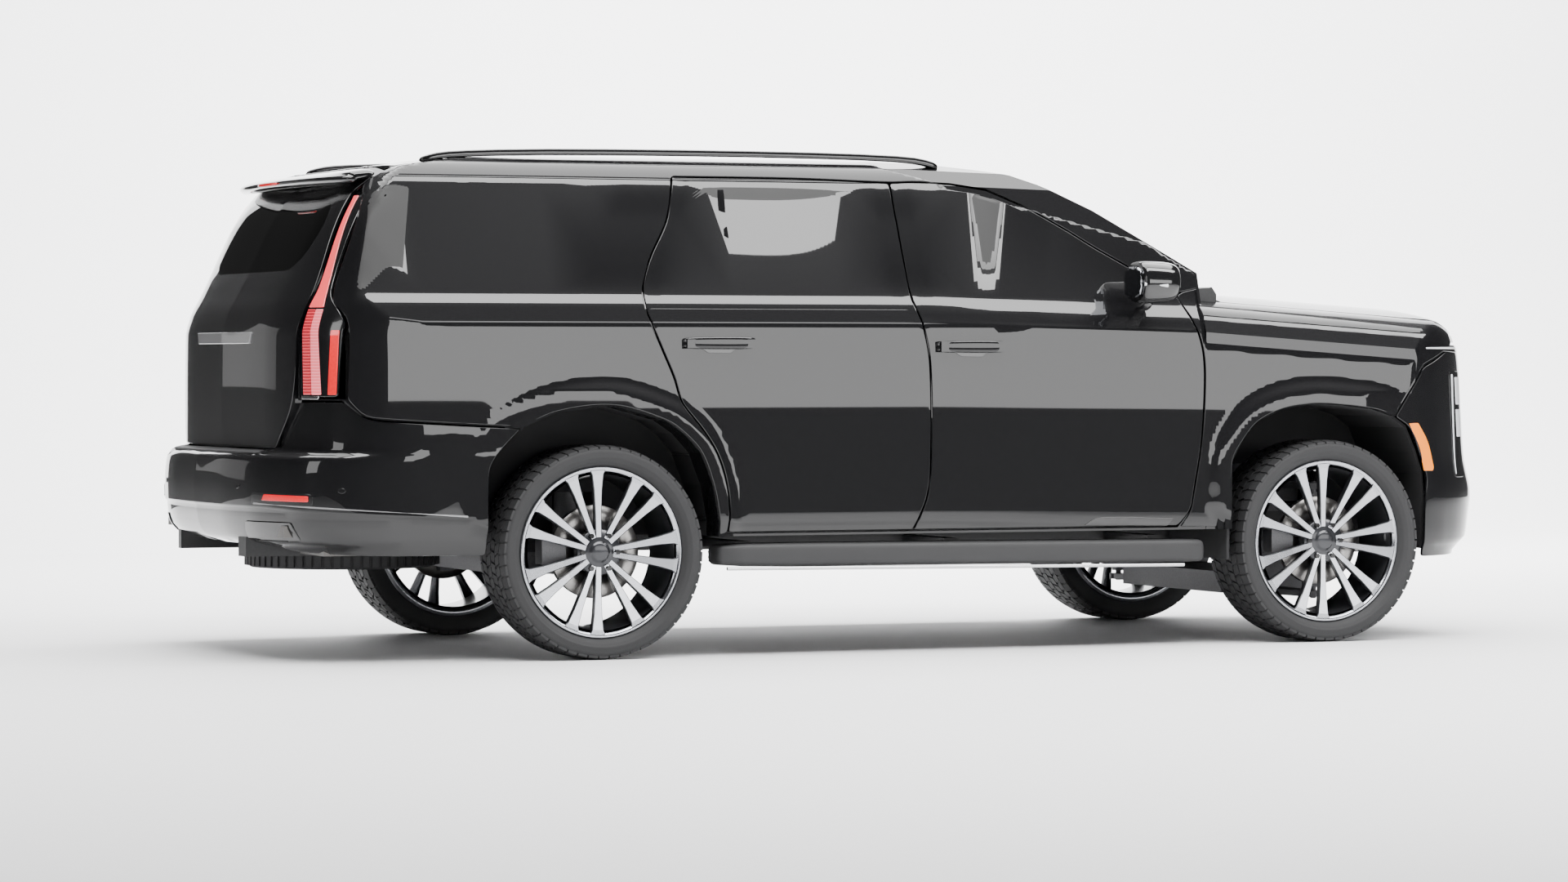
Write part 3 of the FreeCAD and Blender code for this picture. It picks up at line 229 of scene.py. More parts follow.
# The body's surface.
def through(knots):
    """A smooth curve through (place, value) knots that never overshoots them."""
    place, value = np.array(knots, float).T
    step = np.diff(place)
    rise = np.diff(value) / step
    slope = np.zeros(len(place))
    slope[0], slope[-1] = rise[0], rise[-1]
    for i in range(1, len(place) - 1):
        if rise[i - 1] * rise[i] > 0:
            a, b = 2 * step[i] + step[i - 1], step[i] + 2 * step[i - 1]
            slope[i] = (a + b) / (a / rise[i - 1] + b / rise[i])

    def curve(x):
        x = np.asarray(x, float)
        i = np.clip(np.searchsorted(place, x) - 1, 0, len(step) - 1)
        run = step[i]
        t = (x - place[i]) / run
        u = np.clip(t, 0, 1)
        inside = (1 + 2 * u) * (1 - u) ** 2 * value[i] + u * (1 - u) ** 2 * run * slope[i]
        inside = inside + u * u * (3 - 2 * u) * value[i + 1] + u * u * (u - 1) * run * slope[i + 1]
        return inside + np.where(t < 0, t * run * slope[i], 0) + np.where(t > 1,
                                                                          (t - 1) * run * slope[i + 1], 0)

    return curve


CREASE_DROP = through([(-2800, 0), (-300, 0), (300, -15.9), (985, -34), (1500, -70), (2450, -136.5)])
WIDTH = through([(300, 994), (455, 1000), (492, 1003), (504, 1007), (540, 1008), (700, 1009), (900, 1012),
                 (1080, 1011), (1240, 1006), (1262, 1005),
                 (1269, 1002), (1310, 988), (1372, 958), (1500, 922), (1650, 880), (1800, 832), (1840, 800),
                 (1870, 750), (1888, 650), (1915, 0)])
CROWN = through([(0, 1915), (650, 1888), (775, 1858), (832, 1800), (880, 1650)])
ROOF = through([(-2420, 1775), (-2330, 1838), (-2150, 1866), (-1700, 1892), (-1100, 1905), (-500, 1905),
                (-65, 1882), (106, 1862), (235, 1840), (342, 1803), (560, 1704), (800, 1568), (1000, 1452),
                (1110, 1402)])
REAR = through([(300, TAIL + 135), (455, TAIL + 130), (800, TAIL + 115), (1210, TAIL + 118), (1290,
                                                                                              TAIL + 138),
                (1372, TAIL + 180), (1775, -2420), (1838, -2330), (1866, -2150)])
REAR_ROUND = through([(0, 0), (500, 15), (800, 75), (940, 155), (1000, 315), (1015, 715)])
HOOD = through([(1110, 1402), (1700, 1380), (2060, 1330), (2290, 1275), (2360, 1215), (2390, 1129)])
FENDER = through([(0, 1420), (600, 1395), (850, 1354), (900, 1340), (950, 1318), (986, 1276), (1003, 1200)])
FACE = through([(300, NOSE - 90), (355, NOSE - 80), (400, NOSE - 25), (482, NOSE - 10), (573, NOSE),
                (726, NOSE - 30), (930, NOSE - 45), (1129, NOSE - 60), (1215, NOSE - 90), (1275, NOSE - 160),
                (1330, NOSE - 390)])
FACE_ROUND = through([(0, 0), (250, 6), (480, 30), (680, 85), (750, 123), (870, 210), (960, 330), (1006,
                                                                                                   460),
                      (1015, 550)])
BUMPER_FACE = through([(380, TAIL + 190), (415, TAIL + 150), (450, TAIL + 45), (500, TAIL + 10), (560,
                                                                                                  TAIL + 2),
                       (640, TAIL), (700, TAIL + 3), (760, TAIL + 16), (778, TAIL + 50), (790, TAIL + 104),
                       (970, TAIL + 112)])
BUMPER_ROUND = through([(0, 0), (300, 8), (560, 40), (780, 110), (880, 163), (940, 230), (985, 330), (1012,
                                                                                                      530),
                        (1017, 960)])

def spline(points, step):
    """Points along a curve through all but the first and last of the points."""
    made = []
    points = [np.array(p, float) for p in points]
    for a, b, c, d in zip(points, points[1:], points[2:], points[3:]):
        before, scale, after = (np.linalg.norm(run) for run in (b - a, c - b, d - c))
        lead = (c - a) / max(1e-6, scale + before)
        tail = (d - b) / max(1e-6, after + scale)
        pieces = max(1, int(round(scale / step)))
        for i in range(pieces):
            t = i / pieces
            made.append((2 * t ** 3 - 3 * t * t + 1) * b + (t ** 3 - 2 * t * t + t) * scale * lead
                        + (3 * t * t - 2 * t ** 3) * c + (t ** 3 - t * t) * scale * tail)
    return made


BUMPER_SIDE = through([(370, 978), (410, 996), (470, 1008), (560, 1013), (760, 1015), (800, 1015), (970,
                                                                                                    1004)])
FENDER_START = 975.0
FENDER_FALL = 0.07
FENDER_FALL_START = 985.0
REAR_EDGE = 20.0
TOP_EDGE = 12.0
NOSE_EDGE = 20.0
BUMPER_EDGE = 45.0
VALANCE_STEP = 8.0
VALANCE_SLOPE = 10.0
VALANCE_TOP = 576.0
VALANCE_FALL = 48.0
VALANCE_BEND = 560.0
VALANCE_RUN = 600.0
TAIL_AXIS = -2100.0
TAIL_RADIUS = 700.0
FLARE = 21.0
FLARE_FLAT = 36.0
FLARE_REACH = 112.0
ARCH_HALF = 460.0
ARCH_TOP = 960.0
ARCH_FRONT = [(-446, 721), (-390, 818), (-334, 877), (-222, 926), (-78, 945), (58, 938), (194, 922), (286,
                                                                                                      894),
              (354, 849), (400, 754), (436, 664), (440, 560)]
ARCH_REAR = [(-441, 723), (-392, 804), (-340, 862), (-189, 926), (32, 948), (238, 892), (315, 841), (381,
                                                                                                     770),
             (430, 647), (455, 514)]
ARCHES = [spline([(AXLE + x, z) for x, z in [(-447, 420), (-447, 560)] + ARCH_FRONT + [(440, 440), (440,
                                                                                                    400)]], 24),
          spline([(-AXLE + x, z) for x, z in [(-441, 420), (-441, 560)] + ARCH_REAR + [(455, 440), (455,
                                                                                                    400)]], 24)]


def smooth_max(a, b, radius):
    overlap = np.maximum(radius - np.abs(a - b), 0) / radius
    return np.maximum(a, b) + overlap * overlap * radius / 4


def arch_swell(x, z):
    """How far the flares stand out at a place on the side."""
    x, z = np.asarray(x, float), np.asarray(z, float)
    swell = np.zeros(x.shape)
    for arch in ARCHES:
        middle = (arch[0][0] + arch[-1][0]) / 2
        close = (np.abs(x - middle) < ARCH_HALF + FLARE_REACH) & (z < ARCH_TOP + FLARE_REACH)
        if not close.any():
            continue
        starts, ends = np.array(arch[:-1]), np.array(arch[1:])
        run = ends - starts
        offset = np.stack([x[close], z[close]], 1)[:, None] - starts
        along = np.clip((offset * run).sum(2) / (run * run).sum(1), 0, 1)
        nearest = np.linalg.norm(offset - along[..., None] * run, axis=2).min(1)
        near = np.clip((FLARE_REACH - nearest) / (FLARE_REACH - FLARE_FLAT), 0, 1)
        swell[close] = FLARE * near * near * (3 - 2 * near)
    return swell


def body_field(x, y, z):
    """Negative inside the body, positive outside, in millimetres near its surface."""
    wide = np.abs(y)
    side = wide - WIDTH(z - CREASE_DROP(x)) - arch_swell(x, z)
    rear = REAR(z) + REAR_ROUND(wide) - x
    roof = z - np.minimum(ROOF(x), CROWN(wide))
    hood = z - np.minimum(HOOD(x), FENDER(wide) - FENDER_FALL * (x - FENDER_FALL_START))
    top = np.where(x > FENDER_START, hood, roof)
    front = x - FACE(z) + FACE_ROUND(wide)
    return smooth_max(smooth_max(smooth_max(side, rear, REAR_EDGE), top, TOP_EDGE), front, NOSE_EDGE)


def valance_line(u):
    """Height of the line pressed into the rear bumper, along the arc round the tail."""
    return VALANCE_TOP - VALANCE_FALL * np.clip((np.abs(u) - VALANCE_BEND) / VALANCE_RUN, 0, 1)


def rear_bumper_field(x, y, z):
    """As body_field, for the rear bumper."""
    wide = np.abs(y)
    back = BUMPER_FACE(z) + BUMPER_ROUND(wide) - x
    side = wide - BUMPER_SIDE(z) - arch_swell(x, z)
    along = np.arctan2(wide, TAIL_AXIS - x) * TAIL_RADIUS
    below = np.clip((valance_line(along) - z) / VALANCE_SLOPE, 0, 1)
    return smooth_max(back, side, BUMPER_EDGE) + VALANCE_STEP * below * below * (3 - 2 * below)


def side_cast(u, v):
    """Rays out to the right side, at x = u and z = v."""
    zero = np.zeros_like(u)
    return np.array([u, zero + SIDE_RAYS_Y, v]), np.array([zero, zero - 1, zero])


def cabin_cast(u, v, turn_z=1780.0, turn_y=-560.0, reach=260.0):
    """As side_cast up to turn_z, and above it fanned over the shoulder of the roof."""
    angle = np.clip((v - turn_z) / reach, 0, 1.5)
    low = np.minimum(v, turn_z)
    return np.array([u, np.full_like(u, turn_y), low]), np.array([0 * u, -np.cos(angle), np.sin(angle)])


def fender_cast(u, v):
    """As cabin_cast, fanned over the lower shoulder of the fender."""
    return cabin_cast(u, v, 1200.0, -500.0, 500.0)


def top_cast(u, v):
    """Rays upward, at x = u and y = v."""
    zero = np.zeros_like(u)
    return np.array([u, v, zero + TOP_RAYS_Z]), np.array([zero, zero, zero + 1])


def back_cast(u, v):
    """Rays out to the rear, at y = u and z = v."""
    zero = np.zeros_like(u)
    return np.array([zero + BACK_RAYS_X, u, v]), np.array([zero - 1, zero, zero])


def screen_cast(u, v):
    """Rays forward through the windscreen, at y = u and z = v."""
    zero = np.zeros_like(u)
    return np.array([zero + SCREEN_RAYS_X, u, v]), np.array([zero + 1, zero, zero])


SIDE_RAYS_Y = -300.0
TOP_RAYS_Z = 1000.0
BACK_RAYS_X = -1900.0
SCREEN_RAYS_X = -300.0
RAY_REACH = 1900.0
HALVINGS = 26
SLOPE_REACH = 1.5
NOSE_AXIS = 1700.0
NOSE_RADIUS = 750.0


def nose_cast(u, v):
    """Rays fanned round an upright axis in the nose, u along an arc, v the height."""
    angle = u / NOSE_RADIUS
    zero = np.zeros_like(u)
    return np.array([zero + NOSE_AXIS, zero, v]), np.array([np.cos(angle), np.sin(angle), zero])


def tail_cast(u, v):
    """As nose_cast, round an upright axis in the tail."""
    angle = u / TAIL_RADIUS
    zero = np.zeros_like(u)
    return np.array([zero + TAIL_AXIS, zero, v]), np.array([-np.cos(angle), np.sin(angle), zero])


def nose_u(x, y):
    return math.atan2(y, x - NOSE_AXIS) * NOSE_RADIUS


def tail_u(x, y):
    return math.atan2(y, TAIL_AXIS - x) * TAIL_RADIUS


def meet_surface(field, start, run, out):
    """Where each ray leaves the surface, and the surface's outward normal there."""
    near, far = np.zeros(start.shape[1]), np.full(start.shape[1], RAY_REACH)
    for _ in range(HALVINGS):
        middle = (near + far) / 2
        outside = field(*(start + run * middle)) > out
        far = np.where(outside, middle, far)
        near = np.where(outside, near, middle)
    spot = start + run * far
    slope = np.array([field(*(spot + shift)) - field(*(spot - shift))
                      for shift in np.eye(3)[:, :, None] * SLOPE_REACH])
    return spot.T, (slope / np.linalg.norm(slope, axis=0)).T


# Outlines.
CREASE_ROWS = (-9, -3, 4, 12)
CREASE_CLEAR = 0.6
EDGE_CLEAR = 0.4
EDGE_TURN = 0.7
EDGE_DROP = 0.3
BATCH = 2000


def smooth_loop(points, step=17.0, sharp=32.0, radius=16.0):
    """A closed outline with curves between its sharp corners, and the corners rounded."""
    points = [np.array(p, float) for p in points]
    count = len(points)
    corners = []
    for i in range(count):
        before, after = points[i] - points[i - 1], points[(i + 1) % count] - points[i]
        turn = math.degrees(abs(math.atan2(before[0] * after[1] - before[1] * after[0], before @ after)))
        if turn > sharp:
            corners.append(i)
    if not corners:
        return spline([points[-1]] + points + points[:2], step)
    loop = []
    for k, first in enumerate(corners):
        last = corners[(k + 1) % len(corners)]
        run = [points[(first + j) % count] for j in range((last - first) % count + 1 or count + 1)]
        ends = [2 * run[0] - run[1]] + run + [2 * run[-1] - run[-2]]
        line = np.array(spline(ends, step) + [run[-1]])
        lengths = np.concatenate([[0], np.cumsum(np.linalg.norm(np.diff(line, axis=0), axis=1))])
        trim = min(radius, lengths[-1] * 0.4)
        inner = np.linspace(trim, lengths[-1] - trim,
                            max(2, int(math.ceil((lengths[-1] - 2 * trim) / step)) + 1))
        loop.append(np.array([np.interp(inner, lengths, line[:, axis]) for axis in (0, 1)]).T)
    whole = []
    for k, line in enumerate(loop):
        whole.extend(line)
        corner = points[corners[(k + 1) % len(corners)]]
        start, end = line[-1], loop[(k + 1) % len(loop)][0]
        for t in (0.2, 0.4, 0.6, 0.8):
            whole.append((1 - t) ** 2 * start + 2 * t * (1 - t) * corner + t * t * end)
    return [tuple(p) for p in whole]


def inset(loop, amount):
    """The closed loop moved inward by amount."""
    loop = np.array(loop)
    along = np.roll(loop, -1, 0) - np.roll(loop, 1, 0)
    along /= np.linalg.norm(along, axis=1)[:, None] + 1e-9
    area = np.sum(loop[:, 0] * np.roll(loop[:, 1], -1) - loop[:, 1] * np.roll(loop[:, 0], -1))
    outward = np.stack([along[:, 1], -along[:, 0]], 1) * (1 if area > 0 else -1)
    return loop - outward * amount, outward


def within(points, loop):
    """Which points lie inside the closed loop."""
    inside = np.zeros(len(points), bool)
    for (ax, ay), (bx, by) in zip(loop, np.roll(loop, -1, 0)):
        crosses = (ay > points[:, 1]) != (by > points[:, 1])
        inside ^= crosses & (points[:, 0] < (bx - ax) * (points[:, 1] - ay) / (by - ay + 1e-12) + ax)
    return inside


def add_object(name, data):
    made = bpy.data.objects.new(name, data)
    bpy.context.scene.collection.objects.link(made)
    return made


def add_mesh(name, points, faces, finish, normals=None, smooth=True):
    mesh = bpy.data.meshes.new(name)
    mesh.from_pydata([tuple(p) for p in points], [], [tuple(f) for f in faces])
    mesh.validate()
    mesh.materials.append(finish)
    mesh.polygons.foreach_set("use_smooth", [smooth] * len(mesh.polygons))
    if normals is not None:
        mesh.normals_split_custom_set_from_vertices([tuple(n) for n in normals])
    return add_object(name, mesh)


def spread_points(skin, step, creases):
    """Points spread over a panel and along its creases, kept clear of its edges."""
    low, high = skin[0].min(0), skin[0].max(0)
    us = np.arange(low[0] + step / 2, high[0], step)
    vs = np.arange(low[1] + step / 2, high[1], step)
    grid = np.array([(u, v) for v in vs for u in us]).reshape(-1, 2)
    for line in creases:
        grid = grid[np.abs(grid[:, 1] - line(grid[:, 0])) > step * CREASE_CLEAR]
        rails = [(u, line(u) + offset) for offset in CREASE_ROWS for u in us]
        grid = np.concatenate([grid, np.array(rails).reshape(-1, 2)])
    keep = within(grid, skin[0])
    for hole in skin[1:]:
        keep &= ~within(grid, hole)
    grid = grid[keep]
    for edge in skin:
        for k in range(0, len(grid), BATCH):
            part = grid[k:k + BATCH]
            gap_to = np.min(np.linalg.norm(part[:, None] - edge[None], axis=2), axis=1)
            part[gap_to < step * EDGE_CLEAR] = np.nan
        grid = grid[~np.isnan(grid[:, 0])]
    return grid


def shell_mesh(outline, cast, field=body_field, holes=(), out=PROUD, gap=SEAM_GAP, hem=12.0, step=26.0,
               radius=16.0, creases=(), dent=None, round_edge=3.0):
    """Points, faces and normals of a panel: a smooth skin on the surface with rounded, turned-in edges."""
    def land(flat):
        spots, normals = meet_surface(field, *cast(*flat.T), out)
        return dent(flat, spots, normals) if dent else (spots, normals)

    loops = []
    for points, sign in [(outline, 1)] + [(hole, -1) for hole in holes]:
        base, outward = inset(smooth_loop(points, radius=radius), gap * sign)
        loops.append((base, base - outward * sign * round_edge))
    skin = [inner for _, inner in loops]
    flat = np.concatenate(skin + [spread_points(skin, step, creases)])
    edges, start = [], 0
    for edge in skin:
        count = len(edge)
        edges += [(start + i, start + (i + 1) % count) for i in range(count)]
        start += count
    verts, _, faces, origin, _, _ = delaunay_2d_cdt([Vector(p) for p in flat], edges, [], 2, 1e-5)
    index = {i: k for k, sources in enumerate(origin) for i in sources}
    spots, normals = land(np.array([tuple(v) for v in verts]))
    points, all_normals, all_faces = [spots], [normals], [tuple(f) for f in faces]
    total, start = len(spots), 0
    for base, _ in loops:
        count = len(base)
        mine = [index[start + i] for i in range(count)]
        start += count
        edge_spots, edge_normals = land(base)
        sideways = edge_spots - spots[mine]
        sideways /= np.linalg.norm(sideways, axis=1)[:, None] + 1e-9
        turned = edge_normals * EDGE_TURN + sideways * EDGE_TURN
        corner = spots[mine] + sideways * round_edge * EDGE_TURN - edge_normals * round_edge * EDGE_DROP
        previous = mine
        for ring, ring_normals in ((corner, turned), (edge_spots - edge_normals * round_edge, sideways),
                                   (edge_spots - edge_normals * hem, sideways)):
            fresh = list(range(total, total + count))
            points.append(ring)
            all_normals.append(ring_normals)
            total += count
            for i in range(count):
                j = (i + 1) % count
                all_faces.append((previous[i], previous[j], fresh[j], fresh[i]))
            previous = fresh
    points, all_normals = np.concatenate(points), np.concatenate(all_normals)
    return points, orient(points, all_faces, all_normals), all_normals


def orient(points, faces, normals):
    """The faces, each turned so that it looks the way its corners' normals point."""
    turned = []
    for face in faces:
        a, b, c = (points[i] for i in face[:3])
        if np.cross(b - a, c - a) @ sum(normals[i] for i in face) < 0:
            face = face[::-1]
        turned.append(face)
    return turned


def panel(name, finish, outline, cast, body="body", replaces=(), slot=None, **options):
    """A panel on the right side, and its mirror image on the left."""
    points, faces, normals = shell_mesh(outline, cast, **options)
    for side, sign in SIDES:
        flip = np.array([1, -sign, 1])
        order = faces if side == "right" else [f[::-1] for f in faces]
        piece = add_mesh(f"{name}_{side}", at(points * flip), order, finish, normals * flip)
        finish_piece(piece, body.replace("SIDE", side), [n.replace("SIDE", side) for n in replaces])


def fitting(name, finish, outline, cast, out, body="body", hem=6.0, gap=0.0, round_edge=1.5, **options):
    """A small piece set on the skin, its outline given with positive distances from the middle."""
    outline = outline if cast is side_cast else right_side(outline)
    panel(name, finish, outline, cast, body, out=out, gap=gap, hem=hem, round_edge=round_edge, **options)


def single(name, finish, outline, cast, body="body", replaces=(), slot=None, **options):
    """A panel that crosses the middle of the vehicle."""
    points, faces, normals = shell_mesh(outline, cast, **options)
    finish_piece(add_mesh(name, at(points), faces, finish, normals), body, replaces)


def finish_piece(piece, body="body", replaces=()):
    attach(piece, body)
    if replaces:
        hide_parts(*replaces)
    return piece


def even(points):
    """An outline's right half, given from the middle plane, closed by its mirror image."""
    return list(points) + [(-u, v) for u, v in reversed(points)]


# Solid forms.
def ring_faces(count, rows, spans):
    """Faces between following rings of count points, where the last ring may lead back to the first."""
    faces = []
    for k in range(spans):
        near, far = k * count, (k + 1) % rows * count
        for i in range(count):
            j = (i + 1) % count
            faces.append((near + i, near + j, far + j, far + i))
    return faces


def prism_faces(count, base=0, bottom=True):
    """Faces of a block whose points are a polygon's corners and then the corners under them."""
    faces = [tuple(range(base, base + count))]
    if bottom:
        faces.append(tuple(range(base + 2 * count - 1, base + count - 1, -1)))
    under = base + count
    return faces + [(base + i, under + i, under + (i + 1) % count, base + (i + 1) % count)
                    for i in range(count)]


def loft(name, rings, finish, subdivide=1, body="body", replaces=()):
    """A skin over closed rings of equally many points, in millimetres, capped at both ends."""
    rings = [np.array(r, float) for r in rings]
    count, last = len(rings[0]), len(rings) - 1
    faces = ring_faces(count, len(rings), last)
    faces += [tuple(range(count))[::-1], tuple(last * count + i for i in range(count))]
    made = add_mesh(name, at(np.concatenate(rings)), faces, finish)
    outward_faces(made)
    if subdivide:
        smooth = made.modifiers.new("round", "SUBSURF")
        smooth.levels = smooth.render_levels = subdivide
    return finish_piece(made, body, replaces)


def outward_faces(piece):
    """Turns every face of a closed mesh outward."""
    work = bmesh.new()
    work.from_mesh(piece.data)
    bmesh.ops.recalc_face_normals(work, faces=work.faces)
    work.to_mesh(piece.data)
    work.free()


def rounded_ring(width, height, corner=0.45):
    """A closed soft rectangle in its own plane, centred on nothing, twelve points round."""
    a, b = width / 2, height / 2
    c = min(a, b) * corner
    return [(a, -b + c), (a, b - c), (a - c * 0.3, b - c * 0.3), (a - c, b), (-a + c, b), (-a + c * 0.3,
                                                                                           b - c * 0.3),
            (-a, b - c), (-a, -b + c), (-a + c * 0.3, -b + c * 0.3), (-a + c, -b), (a - c, -b),
            (a - c * 0.3, -b + c * 0.3)]


def lathe(name, profile, finish, steps=96, close=False):
    """A form turned about the y axis from (radius, y) points in millimetres, outer side toward -y."""
    angles = np.linspace(0, 2 * math.pi, steps, endpoint=False)
    points = [(r / 1000 * math.cos(a), y / 1000, r / 1000 * math.sin(a)) for r, y in profile for a in angles]
    rows = len(profile)
    return add_mesh(name, points, ring_faces(steps, rows, rows if close else rows - 1), finish)


def baked(holder):
    """The mesh that an object shows once its curve or modifiers are worked out."""
    return bpy.data.meshes.new_from_object(holder.evaluated_get(bpy.context.evaluated_depsgraph_get()))


def repeat(name, seed, count, finish):
    """Copies of the seed round the y axis, made with geometry nodes."""
    tree = bpy.data.node_groups.new(name, "GeometryNodeTree")
    counted = tree.interface.new_socket("Count", in_out="INPUT", socket_type="NodeSocketInt")
    stepped = tree.interface.new_socket("Step", in_out="INPUT", socket_type="NodeSocketVector")
    tree.interface.new_socket("Geometry", in_out="OUTPUT", socket_type="NodeSocketGeometry")
    given, result, scaled = (tree.nodes.new(kind)
                             for kind in ("NodeGroupInput", "NodeGroupOutput", "ShaderNodeVectorMath"))
    spots, place, source, copies, solid, dressed = (
        tree.nodes.new("GeometryNode" + kind)
        for kind in ("Points", "InputIndex", "ObjectInfo", "InstanceOnPoints", "RealizeInstances",
                     "SetMaterial"))
    scaled.operation = "SCALE"
    source.inputs["Object"].default_value = seed
    dressed.inputs["Material"].default_value = finish
    for start, output, target, into in (
            (given, "Count", spots, "Count"), (given, "Step", scaled, 0), (place, "Index", scaled, "Scale"),
            (spots, "Points", copies, "Points"), (source, "Geometry", copies, "Instance"),
            (scaled, "Vector", copies, "Rotation"), (copies, "Instances", solid, "Geometry"),
            (solid, "Geometry", dressed, "Geometry"), (dressed, "Geometry", result, 0)):
        join(tree, start, output, target, into)
    holder = add_object(name, bpy.data.meshes.new(name + "_empty"))
    maker = holder.modifiers.new("copies", "NODES")
    maker.node_group = tree
    maker[counted.identifier] = count
    maker[stepped.identifier] = (0.0, 2 * math.pi / count, 0.0)
    mesh = baked(holder)
    holder.modifiers.clear()
    holder.data = mesh
    bpy.data.objects.remove(seed)
    return holder


def put_down(piece, move, flip=False):
    """Bakes a shift in metres, and a mirror in y, into the mesh."""
    count = len(piece.data.vertices)
    points = np.zeros(count * 3)
    piece.data.vertices.foreach_get("co", points)
    points = points.reshape(-1, 3) * (1, -1 if flip else 1, 1) + move
    piece.data.vertices.foreach_set("co", points.ravel())
    if flip:
        piece.data.flip_normals()
    piece.data.update()


def tube(name, path, radius, finish, body="body"):
    """A round bar along points in millimetres."""
    curve = bpy.data.curves.new(name, "CURVE")
    curve.dimensions = "3D"
    curve.bevel_depth = radius / 1000
    curve.bevel_resolution = 4
    curve.use_fill_caps = True
    line = curve.splines.new("POLY")
    line.points.add(len(path) - 1)
    for point, place in zip(line.points, at(path)):
        point.co = (*place, 1)
    holder = add_object(name + "_curve", curve)
    mesh = baked(holder)
    bpy.data.objects.remove(holder)
    mesh.materials.clear()
    mesh.materials.append(finish)
    mesh.polygons.foreach_set("use_smooth", [True] * len(mesh.polygons))
    finish_piece(add_object(name, mesh), body)


# Body skin.
FRONT_DOOR = [(-274, 468), (-251, 514), (-217, 597), (-203, 700), (-206, 1105), (-234, 1260), (-263, 1353),
              (-300, 1802), (-182, 1806), (-39, 1800), (111, 1779), (251, 1722), (426, 1630), (544, 1560),
              (700, 1475), (791, 1420), (880, 1380), (940, 1253), (970, 1147), (974, 998), (959, 786), (929,
                                                                                                        606),
              (912, 531), (858, 468)]
REAR_DOOR = FRONT_DOOR[:8] + [(-700, 1812), (-1195, 1812), (-1235, 1650), (-1320, 1500), (-1360, 1388),
                              (-1354, 1287), (-1306, 1166), (-1257, 1054), (-1224, 958), (-1148, 861),
                              (-1099, 789), (-1066, 718), (-1046, 636), (-1038, 554), (-1044, 468)]
FRONT_WINDOW = [(-180, 1372), (-228, 1774), (-182, 1776), (-39, 1767), (111, 1746), (251, 1690), (426, 1598),
                (544, 1528), (650, 1468), (730, 1402), (748, 1365)]
REAR_WINDOW = [(-338, 1374), (-370, 1774), (-700, 1782), (-1132, 1782), (-1192, 1640), (-1272, 1490),
               (-1302, 1374)]
QUARTER_WINDOW = [(-2482, 1376), (-2382, 1747), (-2309, 1762), (-1398, 1777), (-1478, 1640), (-1558, 1480),
                  (-1612, 1376)]


BODY_EDGE = [(-1856, 869), (-2416, 902), (-2468, 917), (-2522, 972), (-2520, 1255), (-2560, 1330),
             (-2540, 1400), (-2400, 1735), (-2345, 1815), (-2260, 1860), (-2000, 1893), (-65, 1893),
             (106, 1872), (235, 1846), (342, 1806), (560, 1706), (800, 1570), (960, 1475), (985, 1440),
             (985, 1400), (880, 1380)]
FENDER_EDGE = [(905, 1398), (985, 1414), (1120, 1408), (1500, 1376), (2000, 1317), (2170, 1280),
               (2170, 1184), (1965, 1100), (1822, 897)]
SIDE_CREASE = 1265.0
SIDE_MOULDING = 498.0
FINE_STEP = 15.0
SEAL_WIDTH = 10.0
HANDLES = (("front", -171, 104, 1128), ("rear", -1214, -938, 1141))
HANDLE_RISE = 42


def crease_line(x):
    return SIDE_CREASE + CREASE_DROP(x)


def moulding_line(x):
    return SIDE_MOULDING + CREASE_DROP(x)


def right_side(points):
    """The outline on the right, from one given with positive distances from the middle."""
    return [(-u, v) for u, v in points]


def window_ring(name, body, window):
    """The rubber seal round a window, between the skin's edge and the glass."""
    inner = [tuple(point) for point in inset(smooth_loop(window), SEAL_WIDTH)[0]]
    panel(name, SEAL, window, side_cast, body, holes=[inner], out=-0.5, gap=-3.0, hem=5.0, round_edge=1.0,
          step=40)


def door_panels():
    for name, outline, window, pane in (("front", FRONT_DOOR, FRONT_WINDOW, SIDE_GLASS),
                                        ("rear", REAR_DOOR, REAR_WINDOW, DARK_GLASS)):
        body = f"door_{name}_SIDE"
        panel(f"door_skin_{name}", PAINT, outline, side_cast, body, holes=[window],
              creases=(crease_line, moulding_line))
        window_ring(f"window_seal_{name}", body, window)
        panel(f"door_pane_{name}", pane, window, side_cast, body, [f"glass_{name}_SIDE"], out=-5.0, gap=-4.0,
              hem=4.0, round_edge=1.0)


def door_furniture():
    """Handles with their cups, the bar in the rear window, and the inserts in the lower moulding."""
    for name, start, end, low in HANDLES:
        middle = (start + end) / 2
        grip = ((start - 12, 1006, 10, 22), (start - 4, 1016, 18, 34), (start + 16, 1028, 24, 42),
                (start + 60, 1032, 22, 44), (middle, 1034, 22, 46), (end - 60, 1032, 22, 46),
                (end - 16, 1028, 24, 44), (end + 4, 1016, 18, 38), (end + 12, 1006, 10, 26))
        for side, sign in SIDES:
            rings = [[(x, sign * y + a, low + HANDLE_RISE + b) for a, b in rounded_ring(wide, tall, 0.6)]
                     for x, y, wide, tall in grip]
            loft(f"handle_{name}_{side}", rings, PAINT, 2, f"door_{name}_{side}")
        cup = [(start + 62, low + 26), (start + 92, low + 4), (end - 92, low + 2), (end - 62, low + 26)]
        fitting(f"handle_cup_{name}", GLOSS, cup, side_cast, 4.0, f"door_{name}_SIDE", hem=5.0, radius=9)
    bar = [(-1002, 1366), (-1020, 1500), (-1024, 1640), (-1016, 1786), (-990, 1786), (-992, 1640),
           (-984, 1500), (-966, 1366)]
    fitting("window_bar", GLOSS, bar, side_cast, -1.0, "door_rear_SIDE")
    insert = [(452, 476), (508, 506), (838, 500), (812, 470)]
    fitting("moulding_insert", GLOSS, insert, side_cast, 6.0, "door_front_SIDE", round_edge=2.0, radius=6)


